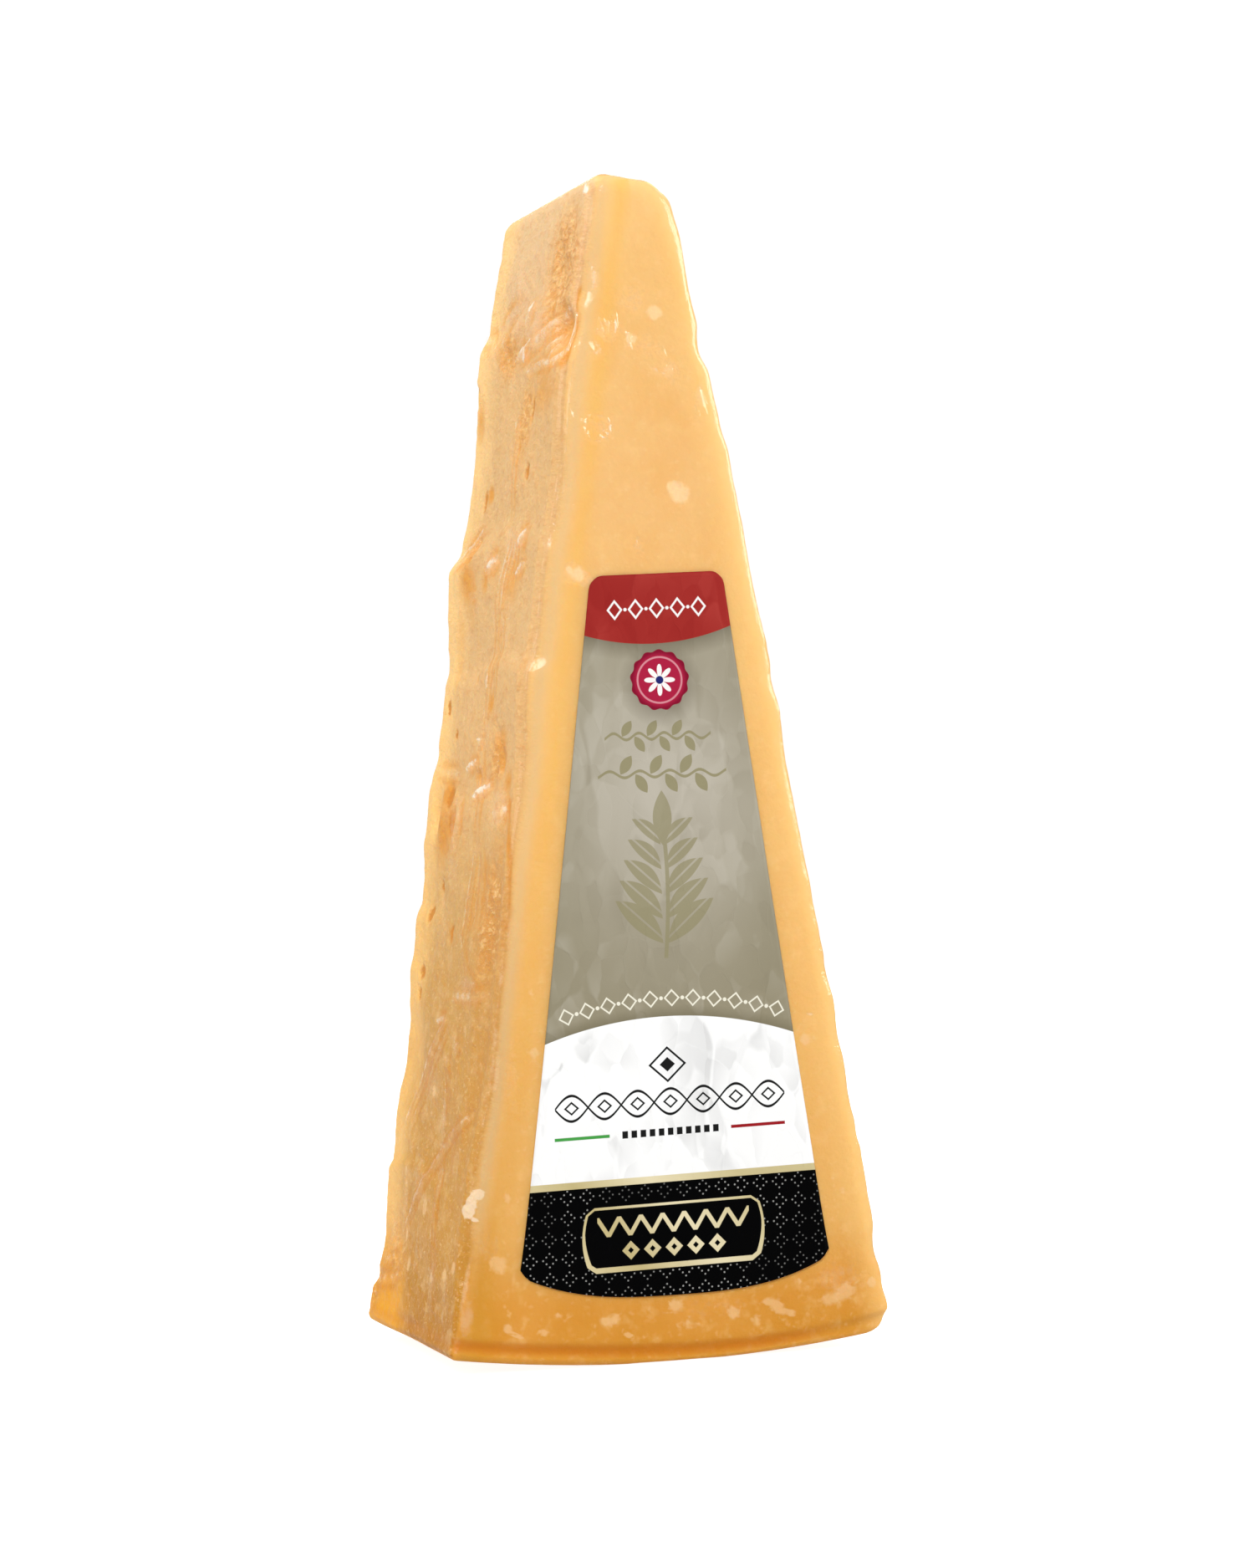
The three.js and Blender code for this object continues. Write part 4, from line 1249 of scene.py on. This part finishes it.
def plaque(across, up):
    """A plate with bulged ends: its body, its gold rim and two gold rows."""
    half_tall, pitch = 4.5, 3.1
    x, y = across + 0.65, up - 8.55
    bulge = (1 - (y / half_tall) * (y / half_tall)) * 0.95
    ends, sides = 12.1 + bulge - x.abs(), half_tall - y.abs()
    body = ends.least(sides).least((ends + sides - 0.9) * 0.7)
    rim_width = y.rising(1, -4) * 0.4 + 0.36
    rim = body.inside() * (rim_width - body).inside()

    upper, lower = y - 1.75, y + 1.65
    peaks = ((x.repeat(pitch).abs() * 1.6 - upper - 1.25) * 0.55).within(0.3)
    peaks = peaks * upper.within(1.35) * x.within(10.85)
    rings = (diamond(x.repeat(pitch), lower, 1.25, 1.3) - 0.3).within(0.3)
    rings = rings * lower.within(1.35) * x.within(7.9)
    return body.inside(), rim.most(peaks).most(rings)


def crumpled_paper(surface):
    """Brightness of flat facets, each with its own tilt, from -1 to 1."""
    parts = []
    for size, weight in ((11, 0.5), (6, 0.35), (3, 0.2)):
        place = surface.pushed_place(size, 0.7, (1, 1, 0.6))
        cells = surface.new("ShaderNodeTexVoronoi", feature="SMOOTH_F1")
        cells.inputs["Scale"].default_value = 1 / (size * MM)
        cells.inputs["Smoothness"].default_value = 0.15
        surface.link(place, cells.inputs["Vector"])
        apart = surface.vector_math("SUBTRACT", place, cells.outputs["Position"])
        tilt = surface.vector_math("SUBTRACT", cells.outputs["Color"], (0.5, 0.5, 0.5))
        slope = Number(surface.tree, surface.vector_math("DOT_PRODUCT", apart, tilt))
        parts.append(slope * (weight * 3 / (size * MM)))
    return parts[0] + parts[1] + parts[2]


def label_material():
    surface = Surface("printed_label")
    across, up, _ = surface.read_vector("print")
    level = up - across * PRINT_SLOPE

    facets = crumpled_paper(surface)
    light_facet, dark_facet = facets.rising(0.05, 0.8), (-facets).rising(0.05, 0.8)
    red_edge = RED_RADIUS - hypotenuse(across - RED_MIDDLE, up - (RED_LOWEST + RED_RADIUS))
    white_edge = WHITE_RADIUS - hypotenuse(across, up - (WHITE_PEAK - WHITE_RADIUS))

    off_middle = hypotenuse(across / 14.0, (up - 68.0) / 18.0)
    glow = (-off_middle * off_middle).put("EXPONENT") + (up + across * 0.6).rising(58, 96) * 0.16
    taupe = surface.blend(
        (148, 140, 116),
        ((188, 181, 166), glow),
        ((206, 200, 186), light_facet * 0.4),
        ((136, 128, 106), dark_facet * 0.45),
        (OLIVE, vines(across, up) * 0.9),
        (OLIVE, sprig(across, up) * 0.75),
        ((90, 82, 62), (-red_edge).rising(2.4, 0) * 0.55),
        ((104, 96, 72), (-white_edge).rising(1.6, 0) * 0.5),
        ((244, 240, 222), bead_arc(across, up) * 0.92),
        ((96, 88, 70), hypotenuse(across + 0.3, up - 84.3).rising(6, 3.8) * 0.4),
    )
    disc, rim_shade, ring, petals, middle = seal(across, up)
    wax = surface.blend(
        (134, 20, 48), ((172, 34, 66), rim_shade), ((226, 160, 170), ring * 0.7),
        ((246, 242, 240), petals), ((38, 42, 110), middle),
    )
    red = surface.blend(
        (160, 46, 42), ((174, 60, 54), light_facet), ((148, 36, 34), dark_facet * 0.7),
        ((250, 246, 244), top_row(across, up) * 0.95),
    )
    white = surface.blend(
        (251, 251, 250), ((216, 216, 215), dark_facet), ((30, 30, 30), white_ornament(across, level)),
        ((72, 160, 74), side_bar(across, level, -13.3)), ((156, 30, 36), side_bar(across, level, 11.9)),
    )
    gold = surface.ramp(across + up * 0.8, GOLD_STOPS)
    plate, gilt = plaque(across, level)
    worn = surface.noise(11, 1, 0.5).rising(0.4, 0.62) * 0.6 + 0.3
    pinned = dot_rings(across, level) * (1 - plate) * worn
    black = surface.blend((1, 1, 2), ((170, 170, 166), pinned), (gold, gilt))
    ink = surface.blend(
        taupe, (wax, disc), (red, red_edge.inside()), (white, white_edge.inside()),
        (gold, (GOLD_LINE[1] - level).inside()), (black, (GOLD_LINE[0] - level).inside()),
    )

    shader = surface.principled(Roughness=0.5, Specular_IOR_Level=0.02)
    surface.link(ink, shader.inputs["Base Color"])
    fibres = surface.noise(0.5, 2, 0.5)
    surface.link(surface.bump(facets * 2.0 + fibres * 0.1, 0.05), shader.inputs["Normal"])
    return surface.finish(shader.outputs[0])


label = make_label()
label.data.materials.append(label_material())
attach(label, "root")
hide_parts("label")

# Camera: the view of the photograph
FOCAL_PIXELS, IMAGE_TALL, SENSOR = 5120.0, 1875.0, 36.0
CAMERA_YAW, CAMERA_ROLL = math.radians(-15.36), math.radians(-2.2)
CAMERA_AWAY = 615.9
CAMERA_TARGET = Vector((3.29, 0, 79.8))

# Studio, in metres: floor and world as the camera sees them and as they light the part
FLOOR_HALF, FLOOR_GREY = 3.0, (0.4, 0.4, 0.4)
FLOOR_GLOW, FLOOR_SEEN_GLOW = 0.35, 0.9
WORLD_LIGHT, WORLD_SEEN = 0.35, 1.05
LOOKED_AT = Vector((0, 0, 0.08))
# Lights: place, size and power
LIGHTS = {
    "left_box": ((-0.75, 0.1, 0.45), (0.3, 0.5), 0.9),
    "high_strip": ((-0.4, 0.2, 0.85), (0.08, 0.3), 3.4),
    "front_box": ((-0.4, -0.85, 0.65), (0.45, 0.45), 7.4),
    "right_box": ((0.8, -0.15, 0.4), (0.3, 0.5), 4.2),
    "back_box": ((0.35, 0.9, 0.5), (0.45, 0.45), 5),
}


def make_camera():
    camera = bpy.data.objects.new("camera", bpy.data.cameras.new("camera"))
    camera.data.sensor_width = SENSOR
    camera.data.lens = FOCAL_PIXELS / IMAGE_TALL * SENSOR
    back = Vector((math.sin(CAMERA_YAW), -math.cos(CAMERA_YAW), 0))
    level, upright = Vector((math.cos(CAMERA_YAW), math.sin(CAMERA_YAW), 0)), Vector((0, 0, 1))
    right = level * math.cos(CAMERA_ROLL) + upright * math.sin(CAMERA_ROLL)
    top = upright * math.cos(CAMERA_ROLL) - level * math.sin(CAMERA_ROLL)
    turn = Matrix((right, top, back)).transposed().to_4x4()
    camera.matrix_world = Matrix.Translation((CAMERA_TARGET + back * CAMERA_AWAY) * MM) @ turn
    bpy.context.collection.objects.link(camera)
    bpy.context.scene.camera = camera


def make_light(name, place, size, power):
    lamp = bpy.data.lights.new(name, "AREA")
    lamp.shape, lamp.size, lamp.size_y = "RECTANGLE", size[0], size[1]
    lamp.energy = power
    light = bpy.data.objects.new(name, lamp)
    light.location = place
    light.rotation_mode = "QUATERNION"
    light.rotation_quaternion = (LOOKED_AT - Vector(place)).to_track_quat("-Z", "Y")
    bpy.context.collection.objects.link(light)


def make_floor():
    corners = np.array([(-1, -1, 0), (1, -1, 0), (1, 1, 0), (-1, 1, 0)]) * FLOOR_HALF / MM
    floor = make_mesh("floor", corners, np.array([[0, 1, 2, 3]]), {})
    surface = Surface("pale_floor")
    shader = surface.principled(Base_Color=(*FLOOR_GREY, 1), Roughness=0.9)
    shader.inputs["Emission Color"].default_value = (1, 1, 1, 1)
    seen_straight = Number(surface.tree, surface.new("ShaderNodeLightPath").outputs["Is Camera Ray"])
    glow = seen_straight * (FLOOR_SEEN_GLOW - FLOOR_GLOW) + FLOOR_GLOW
    surface.link(glow, shader.inputs["Emission Strength"])
    floor.data.materials.append(surface.finish(shader.outputs[0]))


def make_world():
    """White behind the object, and a softer grey for all that lights it."""
    world = bpy.data.worlds.new("studio")
    bpy.context.scene.world = world
    world.use_nodes = True
    tree = world.node_tree
    background = tree.nodes["Background"]
    background.inputs["Color"].default_value = (1, 1, 1, 1)
    path = tree.nodes.new("ShaderNodeLightPath")
    strength = tree.nodes.new("ShaderNodeMapRange")
    strength.inputs["To Min"].default_value = WORLD_LIGHT
    strength.inputs["To Max"].default_value = WORLD_SEEN
    tree.links.new(path.outputs["Is Camera Ray"], strength.inputs["Value"])
    tree.links.new(strength.outputs[0], background.inputs["Strength"])


make_camera()
make_floor()
make_world()
for name, light in LIGHTS.items():
    make_light(name, *light)
bpy.context.scene.view_settings.view_transform = "Standard"
